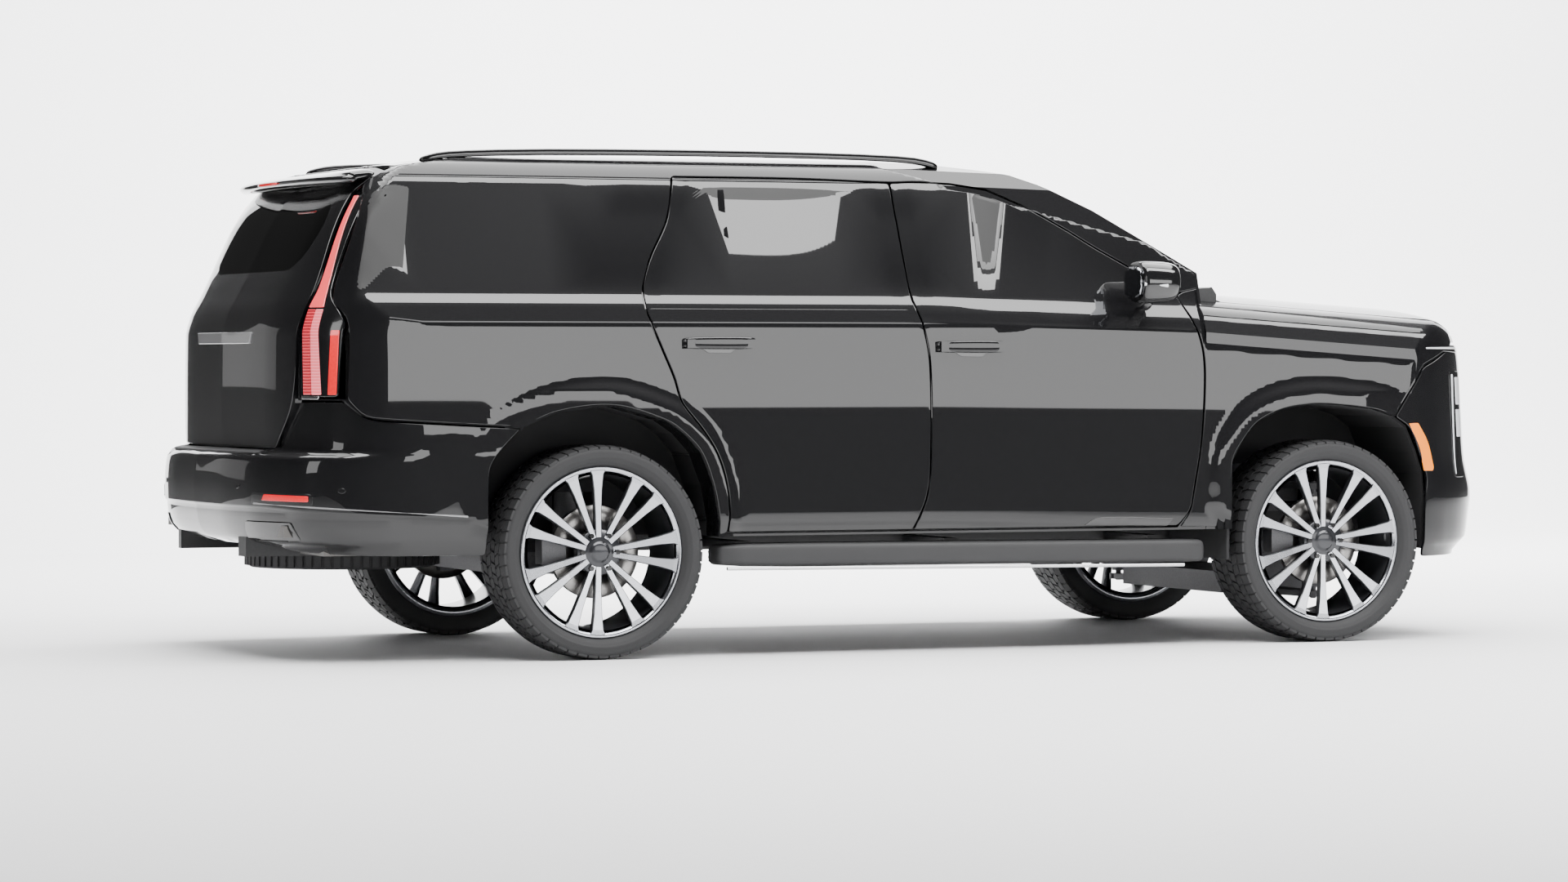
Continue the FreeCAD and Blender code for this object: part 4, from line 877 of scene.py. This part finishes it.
def quarter_panels():
    arch = [(-AXLE + x, z) for x, z in ARCH_REAR]
    outline = ([(-1081, 458)] + arch[::-1][:-2] + BODY_EDGE + FRONT_DOOR[8:16][::-1] + [(-300, 1802)]
               + REAR_DOOR[8:])
    panel("body_side_skin", PAINT, outline, cabin_cast, holes=[QUARTER_WINDOW], creases=(crease_line,),
          step=FINE_STEP)
    window_ring("window_seal_quarter", "body", QUARTER_WINDOW)
    panel("quarter_pane", REAR_GLASS, QUARTER_WINDOW, side_cast, out=-4.0, gap=-4.0, hem=4.0, round_edge=1.0)


def fender_panels():
    arch = [(AXLE + x, z) for x, z in ARCH_FRONT]
    outline = [(865, 462)] + FRONT_DOOR[16:23][::-1] + FENDER_EDGE + arch[::-1][5:] + [(1089, 462)]
    panel("fender_skin", PAINT, outline, fender_cast, creases=(crease_line,), step=FINE_STEP, hem=4.0)


def hood_and_roof():
    edge = [(1135, 838), (1500, 838), (2080, 838), (2190, 800), (2270, 690), (2330, 500), (2362, 250)]
    hood = edge + [(2368, 0)] + [(x, -y) for x, y in reversed(edge)] + [(1150, 0)]
    single("hood_skin", PAINT, hood, top_cast, "hood", step=30)
    roof = [(-2268, 742), (345, 742), (352, 0), (345, -742), (-2268, -742)]
    single("roof_skin", PAINT, roof, top_cast, step=40)
    edge = [(782, 1418), (782, 1500), (756, 1640), (728, 1790), (600, 1802)]
    screen = edge + [(0, 1806)] + [(-y, z) for y, z in reversed(edge)] + [(0, 1412)]
    single("windscreen", SIDE_GLASS, screen, screen_cast, replaces=["fixed_glass"], slot="glass_clear",
           out=3.0, gap=0, hem=5, step=34)


GATE = [(620, 790), (735, 960), (765, 1250), (765, 1372), (672, 1745), (700, 1778), (720, 1800)]
GATE_WINDOW = [(690, 1392), (640, 1560), (600, 1738)]
PLATE_IN = 14.0


def tailgate_panels():
    single("tailgate_skin", PAINT, even(GATE), back_cast, "tailgate", holes=[even(GATE_WINDOW)],
           creases=(lambda y: 1262.0 + 0 * y, lambda y: 1208.0 + 0 * y), step=22)
    single("tailgate_pane", REAR_GLASS, even(GATE_WINDOW), back_cast, "tailgate", ["tailgate_glass"],
           out=-2.0, gap=-6.0, hem=4.0, round_edge=1.0)


def set_plate_in(flat, spots, normals):
    return spots + np.array([PLATE_IN, 0, 0]), normals


def tailgate_furniture():
    """The pull bar, the bare plate with its lamp housing, the high brake lamp and the wiper."""
    single("pull_bar", BRIGHT_GREY, even([(348, 1180), (366, 1224)]), back_cast, "tailgate", out=9.0,
           gap=0.0,
           hem=10.0, radius=6)
    single("blank_plate", MATTE, even([(152, 1012), (152, 1164)]), back_cast, "tailgate", dent=set_plate_in,
           out=0.0, gap=0.0, hem=4.0, round_edge=1.0, radius=8)
    housing = [[(TAIL + x, a, 1172 + z) for a, z in rounded_ring(190, 18)] for x in (116, 136)]
    loft("plate_lamp_housing", housing, GLOSS, 1, "tailgate")
    brow = [[(TAIL + 291 + abs(y) * 0.02 + a, y, 1790 + b) for a, b in rounded_ring(10, 13)]
            for y in (-130, -60, 60, 130)]
    loft("high_brake_lamp", brow, RED, 1, "tailgate")
    tube("rear_wiper", [(-2408, 0, 1762), (-2424, -40, 1742), (-2428, -330, 1722), (-2430, -420, 1715)], 8,
         MATTE, "tailgate")


OUTLET = [(452, 452), (468, 520), (660, 520), (684, 452)]
OUTLET_MOUTH = [(464, 461), (478, 511), (651, 511), (669, 461)]
SENSORS = ((-2540, 965, 640), (-2720, 441, 650))
SENSOR_RADIUS = 10
LAMP_LENSES = ((828, 842, 660, 1062), (756, 812, 940, 1050), (766, 812, 810, 920))
SPOILER_SWEEP = through([(0, 0), (350, 18), (640, 65), (700, 100), (706, 110)])
SPOILER_TIP = -2540
SPOILER_Z = 1790
RAIL_Y = 722
RAIL_DOWN = 6
STEP_Y = 945
STEP_Z = 383


def bumper_furniture():
    """Outlet frames, reflectors with their strips, parking sensors and the step pad."""
    def on_bumper(name, finish, outline, out, **options):
        fitting(name, finish, outline, tail_cast, out, field=rear_bumper_field, **options)

    on_bumper("outlet_frame", GLOSS, OUTLET, 4.0, gap=-2.0, hem=60.0, round_edge=3.0, radius=8,
              holes=[right_side(OUTLET_MOUTH)])
    on_bumper("reflector", RED, [(556, 600), (566, 624), (716, 620), (716, 598)], 2.5, radius=5)
    on_bumper("reflector_bed", GLOSS, [(508, 584), (508, 632), (728, 628), (728, 580)], 0.5, hem=4.0)
    on_bumper("valance_strip", BRIGHT_GREY, [(520, 586), (520, 593), (1120, 545), (1120, 538), (735, 580)],
              2.0, hem=5.0, round_edge=1.0, radius=3, step=14)
    for k, (x, y, z) in enumerate(SENSORS):
        u = tail_u(x, y)
        ring = [(u + SENSOR_RADIUS * math.cos(a), z + SENSOR_RADIUS * math.sin(a))
                for a in np.linspace(0, 2 * math.pi, 17)[:-1]]
        on_bumper(f"parking_sensor_{k}", GLOSS, ring, 2.5, hem=4.0, step=8)
    rings = []
    for y in (-570, -540, -400, -200, 0, 200, 400, 540, 570):
        start = TAIL + 34 + float(BUMPER_ROUND(abs(y)))
        rings.append([(start, y, 772), (start + 10, y, 779), (TAIL + 112, y, 785), (TAIL + 112, y, 774)])
    loft("step_pad", rings, MATTE, 0)
    on_bumper("outlet_well", POCKET, OUTLET, -46.0, gap=-2.0, hem=3.0, round_edge=1.0, radius=8,
              slot="trim_matte")


def bumpers():
    side = nose_u(1970, 1005)
    upper = [(nose_u(x, y), z) for x, y, z in ((1970, 1005, 664), (1935, 1005, 754), (1889, 1005, 849),
                                               (1820, 1005, 893), (1965, 1002, 1092), (2170, 900, 1172))]
    outline = even([(0, 332), (600, 330), (side + 4, 330), (side + 4, 560)] + upper + [(600, 1178), (0,
                                                                                                     1180)])
    grille = even([(585, 562), (660, 1118)])
    single("front_bumper_skin", PAINT, outline, nose_cast, replaces=["front_bumper"], holes=[grille],
           out=0.0,
           step=28)
    around = [(tail_u(x, y), z) for x, y, z in (
        (-2640, 700, 400), (-1985, 1010, 392), (-1985, 1010, 700), (-1960, 1010, 760), (-1860, 1010, 866),
        (-2416, 995, 897), (-2468, 988, 912), (-2525, 965, 966), (-2700, 765, 966), (-2735, 640, 786))]
    single("rear_bumper_skin", PAINT, even([(0, 418), (500, 420)] + around + [(0, 774)]), tail_cast,
           field=rear_bumper_field, replaces=["rear_bumper"], out=-1.0, step=24,
           holes=[OUTLET, right_side(OUTLET)], creases=(valance_line,))


def tail_lamps():
    cover = [(782, 980), (950, 980), (962, 1255), (935, 1300), (860, 1385), (800, 1690), (775, 1735),
             (702, 1735), (715, 1690), (782, 1384)]
    panel("lamp_bed", GLOSS, right_side(cover), back_cast, replaces=["tail_lamps"], out=-1.0)
    # The bar and one row of ribs take the lighter lens copies, as painted highlight.
    for name, finish, outline in (
            ("lamp_bar", RED_LENS_PAINTED_HIGHLIGHT, [(706, 1730), (738, 1730), (752, 1680), (838, 1400), (872, 1312), (790, 1312),
                                (788, 1384), (722, 1690)]),
            ("lamp_ribs", RIBBED, [(792, 1306), (836, 1306), (850, 990), (806, 990)]),
            ("lamp_ribs_lit", RIBBED_LENS_PAINTED_HIGHLIGHT, [(838, 1306), (874, 1306), (896, 990), (852, 990)]),
            ("lamp_panel", RED, [(926, 1228), (952, 1228), (946, 990), (918, 990)])):
        fitting(name, finish, outline, back_cast, 2.0, gap=0.5, radius=5, step=16)
    fitting("lamp_foot", CHROME, [(800, 986), (800, 974), (884, 974), (890, 986)], back_cast, 3.0, radius=4)


def front_lamps():
    top = [(598, 1146), (598, 1180), (800, 1180), (985, 1176), (978, 1160), (800, 1150)]
    fitting("lamp_brow", GLOSS, top, nose_cast, 2.0, replaces=["headlamps"], round_edge=3.0)
    thread = [(606, 1164), (606, 1172), (800, 1172), (972, 1170), (972, 1164), (800, 1163)]
    fitting("lamp_thread", WHITE_LENS, thread, nose_cast, 4.0, hem=4.0, round_edge=1.0, radius=3, step=14)
    column = [(738, 1074), (856, 1074), (846, 646), (774, 646)]
    fitting("lamp_column", GLOSS, column, nose_cast, 2.0, round_edge=3.0)
    for k, (start, end, low, high) in enumerate(LAMP_LENSES):
        lens = [(start, high), (end, high), (end - 4, low), (start + 4, low)]
        fitting(f"lamp_lens_{k}", WHITE_LENS, lens, nose_cast, 4.0, hem=4.0, radius=5, step=16)
    marker = [(1890, 866), (1936, 868), (1986, 790), (2016, 690), (2010, 676), (1966, 676), (1942, 770)]
    fitting("side_marker", AMBER, marker, side_cast, 3.0, radius=5, step=16)


def spoiler():
    rings = []
    for y in (-706, -690, -500, -250, 0, 250, 500, 690, 706):
        thin = 0.6 if abs(y) > 700 else 1.0
        tip = SPOILER_TIP + SPOILER_SWEEP(abs(y))
        rings.append([(x, y, SPOILER_Z + rise * thin) for x, rise in (
            (-2320, 50), (-2430, 32), (tip + 30, 20), (tip, 10), (tip + 2, -10), (tip + 30, -20), (-2430,
                                                                                                   -16),
            (-2320, 10))])
    loft("spoiler_blade", rings, GLOSS, 2, "tailgate", ["spoiler"])


def roof_rails():
    path = [(-2168, 1868), (-2100, 1888), (-2019, 1896), (-1703, 1909), (-1154, 1913), (-546, 1913),
            (-188, 1905), (-100, 1893), (-42, 1872)]
    for side, sign in SIDES:
        rings = [[(x, sign * RAIL_Y + a, z - RAIL_DOWN + b) for a, b in rounded_ring(42, 26)] for x,
                 z in path]
        loft(f"roof_rail_{side}", rings, GLOSS, 1, replaces=["roof_rails"])


def side_steps():
    for side, sign in SIDES:
        rings = []
        for x, grow in ((-1076, 0.7), (-1068, 1.0), (-500, 1.0), (900, 1.0), (966, 1.0), (975, 0.7)):
            tilt = (x + 1076) / 2052 * -22
            rings.append([(x, sign * STEP_Y + a * grow, STEP_Z + tilt * 0.5 + b * grow)
                          for a, b in rounded_ring(165, 92)])
        loft(f"running_board_{side}", rings, MATTE, 1, replaces=["side_steps"])
        tube(f"step_strip_{side}", [(-1050, sign * 1028, 334), (875, sign * 1028, 318)], 7, CHROME)


def mirrors():
    """Mirror heads on their arms, with the signal in the outer edge and the glass behind."""
    for side, sign in SIDES:
        door = f"door_front_{side}"
        rings = []
        for x, y0, y1, z0, z1 in ((796, 1050, 1150, 1375, 1470), (780, 1015, 1195, 1345, 1495),
                                  (720, 1000, 1207, 1338, 1502), (640, 1000, 1207, 1338, 1504),
                                  (615, 1008, 1200, 1345, 1498)):
            ring = rounded_ring(y1 - y0, z1 - z0, 0.7)
            rings.append([(x, sign * ((y0 + y1) / 2 + a), (z0 + z1) / 2 + b) for a, b in ring])
        loft(f"mirror_head_{side}", rings, GLOSS, 2, door, [f"mirror_{side}"])
        arm = [[(x, sign * y, z + lift) for x, z in ((690, 1300), (735, 1300), (740, 1330), (685, 1330))]
               for y, lift in ((940, 0), (1000, 5), (1060, 28))]
        loft(f"mirror_arm_{side}", arm, GLOSS, 1, door)
        signal = [(622, sign * 1188, 1412), (646, sign * 1197, 1410), (716, sign * 1200, 1406)]
        tube(f"mirror_signal_{side}", signal, 7, WHITE_LENS, door)
        face = [[(x, sign * 1104 + a, 1421 + b) for a, b in rounded_ring(168, 128, 0.6)] for x in (611, 616)]
        loft(f"mirror_face_{side}", face, MIRROR, 1, door)


# Wheels.
RIM = 322.0
FACE_Y = -(1012 - HALF_TRACK - 27)
SPOKE_PAIRS = 7
SPOKE_LEAN = 10.0
SPOKE_STATIONS = ((56, FACE_Y + 26, 12), (150, FACE_Y + 18, 13), (235, FACE_Y + 9, 17), (290, FACE_Y + 3,
                                                                                         23),
                  (306, FACE_Y + 2, 31))
NUTS = 6
NUT_RADIUS = 10
NUT_CIRCLE = 69.8
TYRE_HALF = 142.0
TYRE_TOP = 401.0
TREAD_PITCHES = 58
TREAD_DEEP = 9
SHOULDER_DROP = 7
SPARE_BARS = 64
SPARE_IN = 590


def place_wheel(pieces):
    """Copies each piece to all four corners and lets it ride on that wheel's body."""
    for place, x in (("front", AXLE), ("rear", -AXLE)):
        for side, sign in SIDES:
            body = f"wheel_{place}_{side}"
            replaced = {"rim": [body], "tyre_carcass": [f"tyre_{place}_{side}"]}
            move = at([(x, sign * HALF_TRACK, WHEEL_Z)])[0]
            for piece in pieces:
                made = add_object(f"{piece.name}_{place}_{side}", piece.data.copy())
                put_down(made, move, flip=sign > 0)
                finish_piece(made, body, replaced.get(piece.name, []))
    for piece in pieces:
        bpy.data.objects.remove(piece)


def spoke_seed():
    """One pair of spokes, and for each face 0 where it is the machined front and 1 where it is a dark side."""
    points, faces, dark = [], [], []
    for lean in (-SPOKE_LEAN, SPOKE_LEAN):
        angle = math.radians(lean)
        along = np.array([math.cos(angle), 0, math.sin(angle)])
        across = np.array([-math.sin(angle), 0, math.cos(angle)])
        base = len(points)
        for r, y, half in SPOKE_STATIONS:
            for a, b in ((-half, 26), (-half, 3), (-half + 3, 0), (half - 3, 0), (half, 3), (half, 26)):
                points.append((along * r + across * a + np.array([0, y + b, 0])) / 1000)
        for k in range(len(SPOKE_STATIONS) - 1):
            for i in range(5):
                a = base + k * 6 + i
                faces.append((a, a + 1, a + 7, a + 6))
                dark.append(0 if i == 2 else 1)
    seed = add_mesh("spoke_seed", points, faces, MACHINED, smooth=False)
    seed.data.materials.append(POCKET)
    outward_faces(seed)
    return seed, dark


def wheel_metal():
    """Rim, barrel, cap, disc, spokes and nuts, round the wheel's own middle."""
    rim = lathe("rim", (
        (288, FACE_Y + 40), (300, FACE_Y + 12), (306, FACE_Y + 4), (316, FACE_Y), (RIM, FACE_Y + 3),
        (RIM, FACE_Y + 12), (308, FACE_Y + 13), (306, 100), (RIM, 116), (RIM, 136), (296, 136), (284, 90),
        (284, FACE_Y + 60)), MACHINED, close=True)
    barrel = lathe("rim_barrel", ((292, FACE_Y + 8), (283, FACE_Y + 45), (283, 130)), POCKET)
    cap = lathe("hub_cap", (
        (0, FACE_Y + 17), (28, FACE_Y + 17), (34, FACE_Y + 19), (38, FACE_Y + 24), (44, FACE_Y + 26),
        (84, FACE_Y + 28), (88, FACE_Y + 34), (88, -30)), POCKET, 48)
    disc = lathe("brake_disc", ((90, -34), (90, -37), (174, -37), (175, -35), (175, -12), (174, -10), (40,
                                                                                                       -10),
                                (40, -33)), DISC, 72)
    seed, dark = spoke_seed()
    spokes = repeat("spokes", seed, SPOKE_PAIRS, MACHINED)
    spokes.data.materials.append(POCKET)
    spokes.data.polygons.foreach_set("material_index", dark * SPOKE_PAIRS)
    corners = [(math.cos(k * math.pi / 3) * NUT_RADIUS / 1000 + NUT_CIRCLE / 1000, (FACE_Y + deep) / 1000,
                math.sin(k * math.pi / 3) * NUT_RADIUS / 1000) for deep in (12, 30) for k in range(6)]
    nut = add_mesh("nut_seed", corners, prism_faces(6), GLOSS, smooth=False)
    outward_faces(nut)
    nuts = repeat("lug_nuts", nut, NUTS, GLOSS)
    for piece in (rim, barrel, cap, disc, spokes):
        outward_faces(piece)
    return [rim, barrel, cap, disc, spokes, nuts]


def tread_corners(y0, y1, start, end, skew):
    """One raised block of the tread: y range, part of the pitch, and how far it leans."""
    corners = []
    for deep in (TYRE_TOP, TYRE_TOP - TREAD_DEEP):
        for y, t in ((y0, start), (y0, end), (y1, end), (y1, start)):
            angle = (t + skew * (y - y0) / (y1 - y0)) * 2 * math.pi / TREAD_PITCHES
            radius = deep - (SHOULDER_DROP if abs(y) > TYRE_HALF - 14 else 0)
            corners.append((radius * math.cos(angle) / 1000, y / 1000, radius * math.sin(angle) / 1000))
    return corners


def tyre():
    half, top = TYRE_HALF, TYRE_TOP
    carcass = lathe("tyre_carcass", (
        (308, FACE_Y + 12), (323, FACE_Y + 9), (332, -half + 12), (344, -half + 6), (352, -half + 3),
        (354, -half + 1.5), (358, -half + 2.2), (372, -half + 0.5), (384, -half + 3), (top - 8, -half + 16),
        (top - 6.5, -half + 30), (top - 6, 0), (top - 6.5, half - 30), (top - 8, half - 16), (384, half - 3),
        (365, half - 0.5), (335, half - 8), (323, half - 14), (308, half - 18)), RUBBER, 120)
    points, faces = [], []
    for row in ((-half + 3, -98, 0.06, 0.90, 0.1), (-92, -50, 0.1, 0.86, 0.3), (-44, -4, 0.0, 0.8, -0.2),
                (4, 44, 0.2, 1.0, 0.2), (50, 92, 0.1, 0.86, -0.3), (98, half - 3, 0.06, 0.9, -0.1)):
        faces += prism_faces(4, len(points), bottom=False)
        points += tread_corners(*row)
    seed = add_mesh("tread_seed", points, faces, RUBBER, smooth=False)
    outward_faces(seed)
    tread = repeat("tyre_tread", seed, TREAD_PITCHES, RUBBER)
    for piece in (carcass, tread):
        outward_faces(piece)
    return [carcass, tread]


# Cabin.
CABIN_FLOOR = 523.0
REAR_FLOOR = 763
SEAT_RISE = 117
CUSHION_STATIONS = (0, 0.015, 0.05, 0.12, 0.3, 0.5, 0.7, 0.88, 0.95, 0.985, 1)
SEAM_HALF = 0.02
SEAM_PINCH = 0.955


def cushion(name, profile, y0, y1, seams, replaces=()):
    """A padded form: a side profile carried across, crowned between its ends and pinched at its seams."""
    profile = np.array(profile, float)
    centre = profile.mean(0)
    stations = set(CUSHION_STATIONS) | {s + d for s in seams for d in (-SEAM_HALF, 0, SEAM_HALF)}
    rings = []
    for s in sorted(stations):
        end = min(s, 1 - s)
        shrink = 0.80 if end == 0 else 0.92 if end < 0.02 else 0.975 if end < 0.06 else 1.0
        if s in seams:
            shrink = SEAM_PINCH
        rings.append([(x, y0 + (y1 - y0) * s, z) for x, z in centre + (profile - centre) * shrink])
    loft(name, rings, LEATHER, 1, replaces=replaces)


def densify(points, step=60.0):
    """Extra points along the edges of an outline, so that it keeps its form when rounded."""
    made = []
    for (ax, az), (bx, bz) in zip(points, points[1:] + points[:1]):
        pieces = max(1, int(math.hypot(bx - ax, bz - az) / step))
        made += [(ax + (bx - ax) * i / pieces, az + (bz - az) * i / pieces) for i in range(pieces)]
    return made


def seats():
    rows = (("front_right", 0, CABIN_FLOOR, -675, -165, [0.22, 0.78], 690, [-420]),
            ("front_left", 0, CABIN_FLOOR, 165, 675, [0.22, 0.78], 690, [420]),
            ("middle", -860, CABIN_FLOOR, -660, 660, [0.32, 0.5, 0.68], 690, [-420, 420]),
            ("back", -1800, REAR_FLOOR, -600, 600, [0.32, 0.5, 0.68], 470, [-360, 360]))
    for name, x, low, y0, y1, seams, rise, heads in rows:
        z = low + SEAT_RISE
        top = z + rise
        replaced = ["front_seats"] if name.startswith("front") else ["rear_seats"]
        base = densify([(x - 175, z + 4), (x + 325, z + 54), (x + 365, z + 120), (x + 328, z + 156),
                        (x - 150, z + 116)])
        back = densify([(x - 180, z + 4), (x - 64, z + 118), (x - 192, top - 4), (x - 296, top - 12)])
        cushion(f"seat_base_{name}", base, y0, y1, seams, replaced)
        cushion(f"seat_back_{name}", back, y0, y1, seams)
        plinth = [[(x - 145, y, low + 2), (x + 290, y, low + 2), (x + 290, y, z), (x - 145, y, z)]
                  for y in (y0 + 35, y1 - 35)]
        loft(f"seat_plinth_{name}", plinth, CABIN, 0)
        for k, y in enumerate(heads):
            head = densify([(x - 228, top + 46), (x - 322, top + 38), (x - 336, top + 156), (x - 264,
                                                                                             top + 166)],
                           40)
            cushion(f"head_restraint_{name}_{k}", head, y - 125, y + 125, [])
            for post, d in (("a", -50), ("b", 50)):
                tube(f"head_post_{name}_{k}_{post}", [(x - 252, y + d, top - 30), (x - 280, y + d,
                                                                                   top + 70)], 7,
                     CHROME)


def cabin_details():
    """Seat belts, the cabin mirror and the wipers."""
    for side, sign in SIDES:
        for row, x, top in (("front", -255, 1600), ("middle", -1290, 1600), ("back", -2060, 1560)):
            path = ((x, 800, top), (x, 815, 1400), (x + 10, 800, 1150), (x + 20, 780, 900))
            rings = [[(at_x + a, sign * y + b, z) for a, b in ((-24, -1.5), (24, -1.5), (24, 1.5), (-24,
                                                                                                    1.5))]
                     for at_x, y, z in path]
            loft(f"belt_{row}_{side}", rings, BELT_CLOTH, 0)
    mirror = [[(572 + a * 0.1 + x, a, 1652 + b) for a, b in rounded_ring(230, 66, 0.8)] for x in (0, 26)]
    loft("cabin_mirror", mirror, MATTE)
    tube("cabin_mirror_stem", [(592, 0, 1680), (610, 0, 1672)], 12, MATTE)
    for name, y0, y1 in (("wiper_a", -610, -20), ("wiper_b", -40, 560)):
        tube(name, [(1042, y0, 1448), (1036, (y0 + y1) / 2, 1451), (1022, y1, 1457)], 7, MATTE)


def spare():
    """The spare wheel under the floor: a tyre with tread bars round an upright axis."""
    low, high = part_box("spare_wheel")
    half, radius = ((high[axis] - low[axis]) * 500 + 1 for axis in (2, 1))
    profile = [(120, -half + 30), (190, -half + 26), (radius - 90, -half + 16), (radius - 60, -half + 2),
               (radius - 24, -half), (radius - 8, -half + 12), (radius - 5, 0), (radius - 8, half - 12),
               (radius - 24, half), (radius - 60, half - 2), (radius - 90, half - 16), (120, half - 20)]
    carcass = lathe("spare_tyre", profile, RUBBER, 96, close=True)
    pitch = 2 * math.pi / SPARE_BARS
    points = [(r * math.cos(t * pitch) / 1000, y / 1000, r * math.sin(t * pitch) / 1000)
              for r in (radius, radius - 10)
              for y, t in ((-half + 8, 0.1), (-half + 8, 0.75), (half - 8, 0.75), (half - 8, 0.1))]
    bar = add_mesh("spare_bar_seed", points, prism_faces(4), RUBBER, smooth=False)
    outward_faces(bar)
    bars = repeat("spare_tread", bar, SPARE_BARS, RUBBER)
    centre = at([(TAIL + SPARE_IN, 0, (low[2] + high[2]) * 500)])[0]
    for piece in (carcass, bars):
        spots = np.zeros(len(piece.data.vertices) * 3)
        piece.data.vertices.foreach_get("co", spots)
        laid = spots.reshape(-1, 3)[:, [0, 2, 1]] + centre
        piece.data.vertices.foreach_set("co", laid.ravel())
        piece.data.update()
        outward_faces(piece)
    finish_piece(carcass, replaces=["spare_wheel"])
    finish_piece(bars)


# Carried-over pieces of the frame.
def dress_frame():
    # The exhaust takes the darkened steel, its colour partly steel and partly painted shade.
    finishes = {"body_side": PAINT, "door": PAINT, "roof_panel": PAINT, "tailgate": PAINT, "hood": PAINT,
                "front_fenders": PAINT, "grille": GLOSS, "wheel_liners": LINER, "floor_pan": FRAME,
                "chassis_frame": FRAME, "engine_block": CAST, "front_suspension": CAST, "rear_suspension": CAST,
                "knuckle": CAST, "spare_wheel": RUBBER, "exhaust": STEEL_IN_PAINTED_SHADE, "dashboard": CABIN,
                "steering_wheel": LEATHER}
    for name, node in frame["nodes"].items():
        finish = next((f for key, f in finishes.items() if name.startswith(key)), MATTE)
        node.data.materials.clear()
        node.data.materials.append(finish)


# Stage, light and camera.
def stage():
    pale = material("pale_studio_floor", (0.82, 0.82, 0.825), 0.7, grain=12, speckle=0.01,
                    specular=0.1)
    ground = [(-14, -10.5, 0), (16, -10.5, 0), (16, 9.5, 0), (-14, 9.5, 0)]
    floor = add_mesh("studio_floor", ground, [(0, 1, 2, 3)], pale)
    rows = [(9.5, 0), (10.4, 0.1), (11.2, 0.45), (11.9, 1.1), (12.35, 2.0), (12.6, 3.2), (12.7, 5), (12.7,
                                                                                                     12)]
    points = [(x, y, z) for y, z in rows for x in (-2.4, 16)]
    faces = [(2 * k, 2 * k + 1, 2 * k + 3, 2 * k + 2) for k in range(len(rows) - 1)]
    wall = add_mesh("studio_backdrop", points, faces, pale)
    world = bpy.data.worlds.new("studio")
    world.use_nodes = True
    sky = world.node_tree.nodes["Background"]
    sky.inputs["Color"].default_value = (1, 1, 1, 1)
    sky.inputs["Strength"].default_value = 0.07
    bpy.context.scene.world = world


def soft_light(name, place, look_at, size, power):
    lamp = bpy.data.lights.new(name, "AREA")
    lamp.shape = "RECTANGLE"
    lamp.size, lamp.size_y = size
    lamp.energy = power
    holder = add_object(name, lamp)
    holder.location = place
    holder.rotation_euler = (Vector(look_at) - Vector(place)).to_track_quat("-Z", "Y").to_euler()


LIGHTS = (("overhead", (0.5, 1.0, 7.5), (0.5, 1.0, 0), (12, 8), 2300),
          ("backdrop_wash", (6, 5.0, 8.5), (6.5, 12.7, 2), (16, 3), 6800),
          ("front_floor_wash", (2.5, -5.2, 7.6), (2.5, -6.0, 0), (15, 3), 2300),
          ("side_band", (4.3, -9.8, 1.75), (4.3, 0, 1.75), (9.5, 1.7), 310),
          ("tail_glow", (-8.2, 10.5, 2.3), (-2.6, 0, 1.1), (4.2, 2.6), 17),
          ("rear_fill", (-10, -3.5, 3.0), (-2, 0, 1.0), (3, 3), 120))
CAMERA_PLACE = (-7797.1, -17864.2, 1112.1)
CAMERA_YAW = 0.392947
CAMERA_PITCH = -0.016424
CAMERA_LENS = 110.80


def camera():
    eye = bpy.data.cameras.new("photo_camera")
    eye.lens = CAMERA_LENS
    eye.sensor_width = 36.0
    eye.clip_end = 200
    holder = add_object("photo_camera", eye)
    holder.location = at([CAMERA_PLACE])[0]
    ahead = Vector((math.sin(CAMERA_YAW) * math.cos(CAMERA_PITCH),
                    math.cos(CAMERA_YAW) * math.cos(CAMERA_PITCH), math.sin(CAMERA_PITCH)))
    holder.rotation_euler = ahead.to_track_quat("-Z", "Y").to_euler()
    bpy.context.scene.camera = holder


camera()
stage()
for light in LIGHTS:
    soft_light(*light)
dress_frame()
door_panels()
door_furniture()
quarter_panels()
fender_panels()
hood_and_roof()
tailgate_panels()
tailgate_furniture()
bumpers()
bumper_furniture()
tail_lamps()
front_lamps()
spoiler()
roof_rails()
side_steps()
mirrors()
place_wheel(wheel_metal() + tyre())
seats()
cabin_details()
spare()
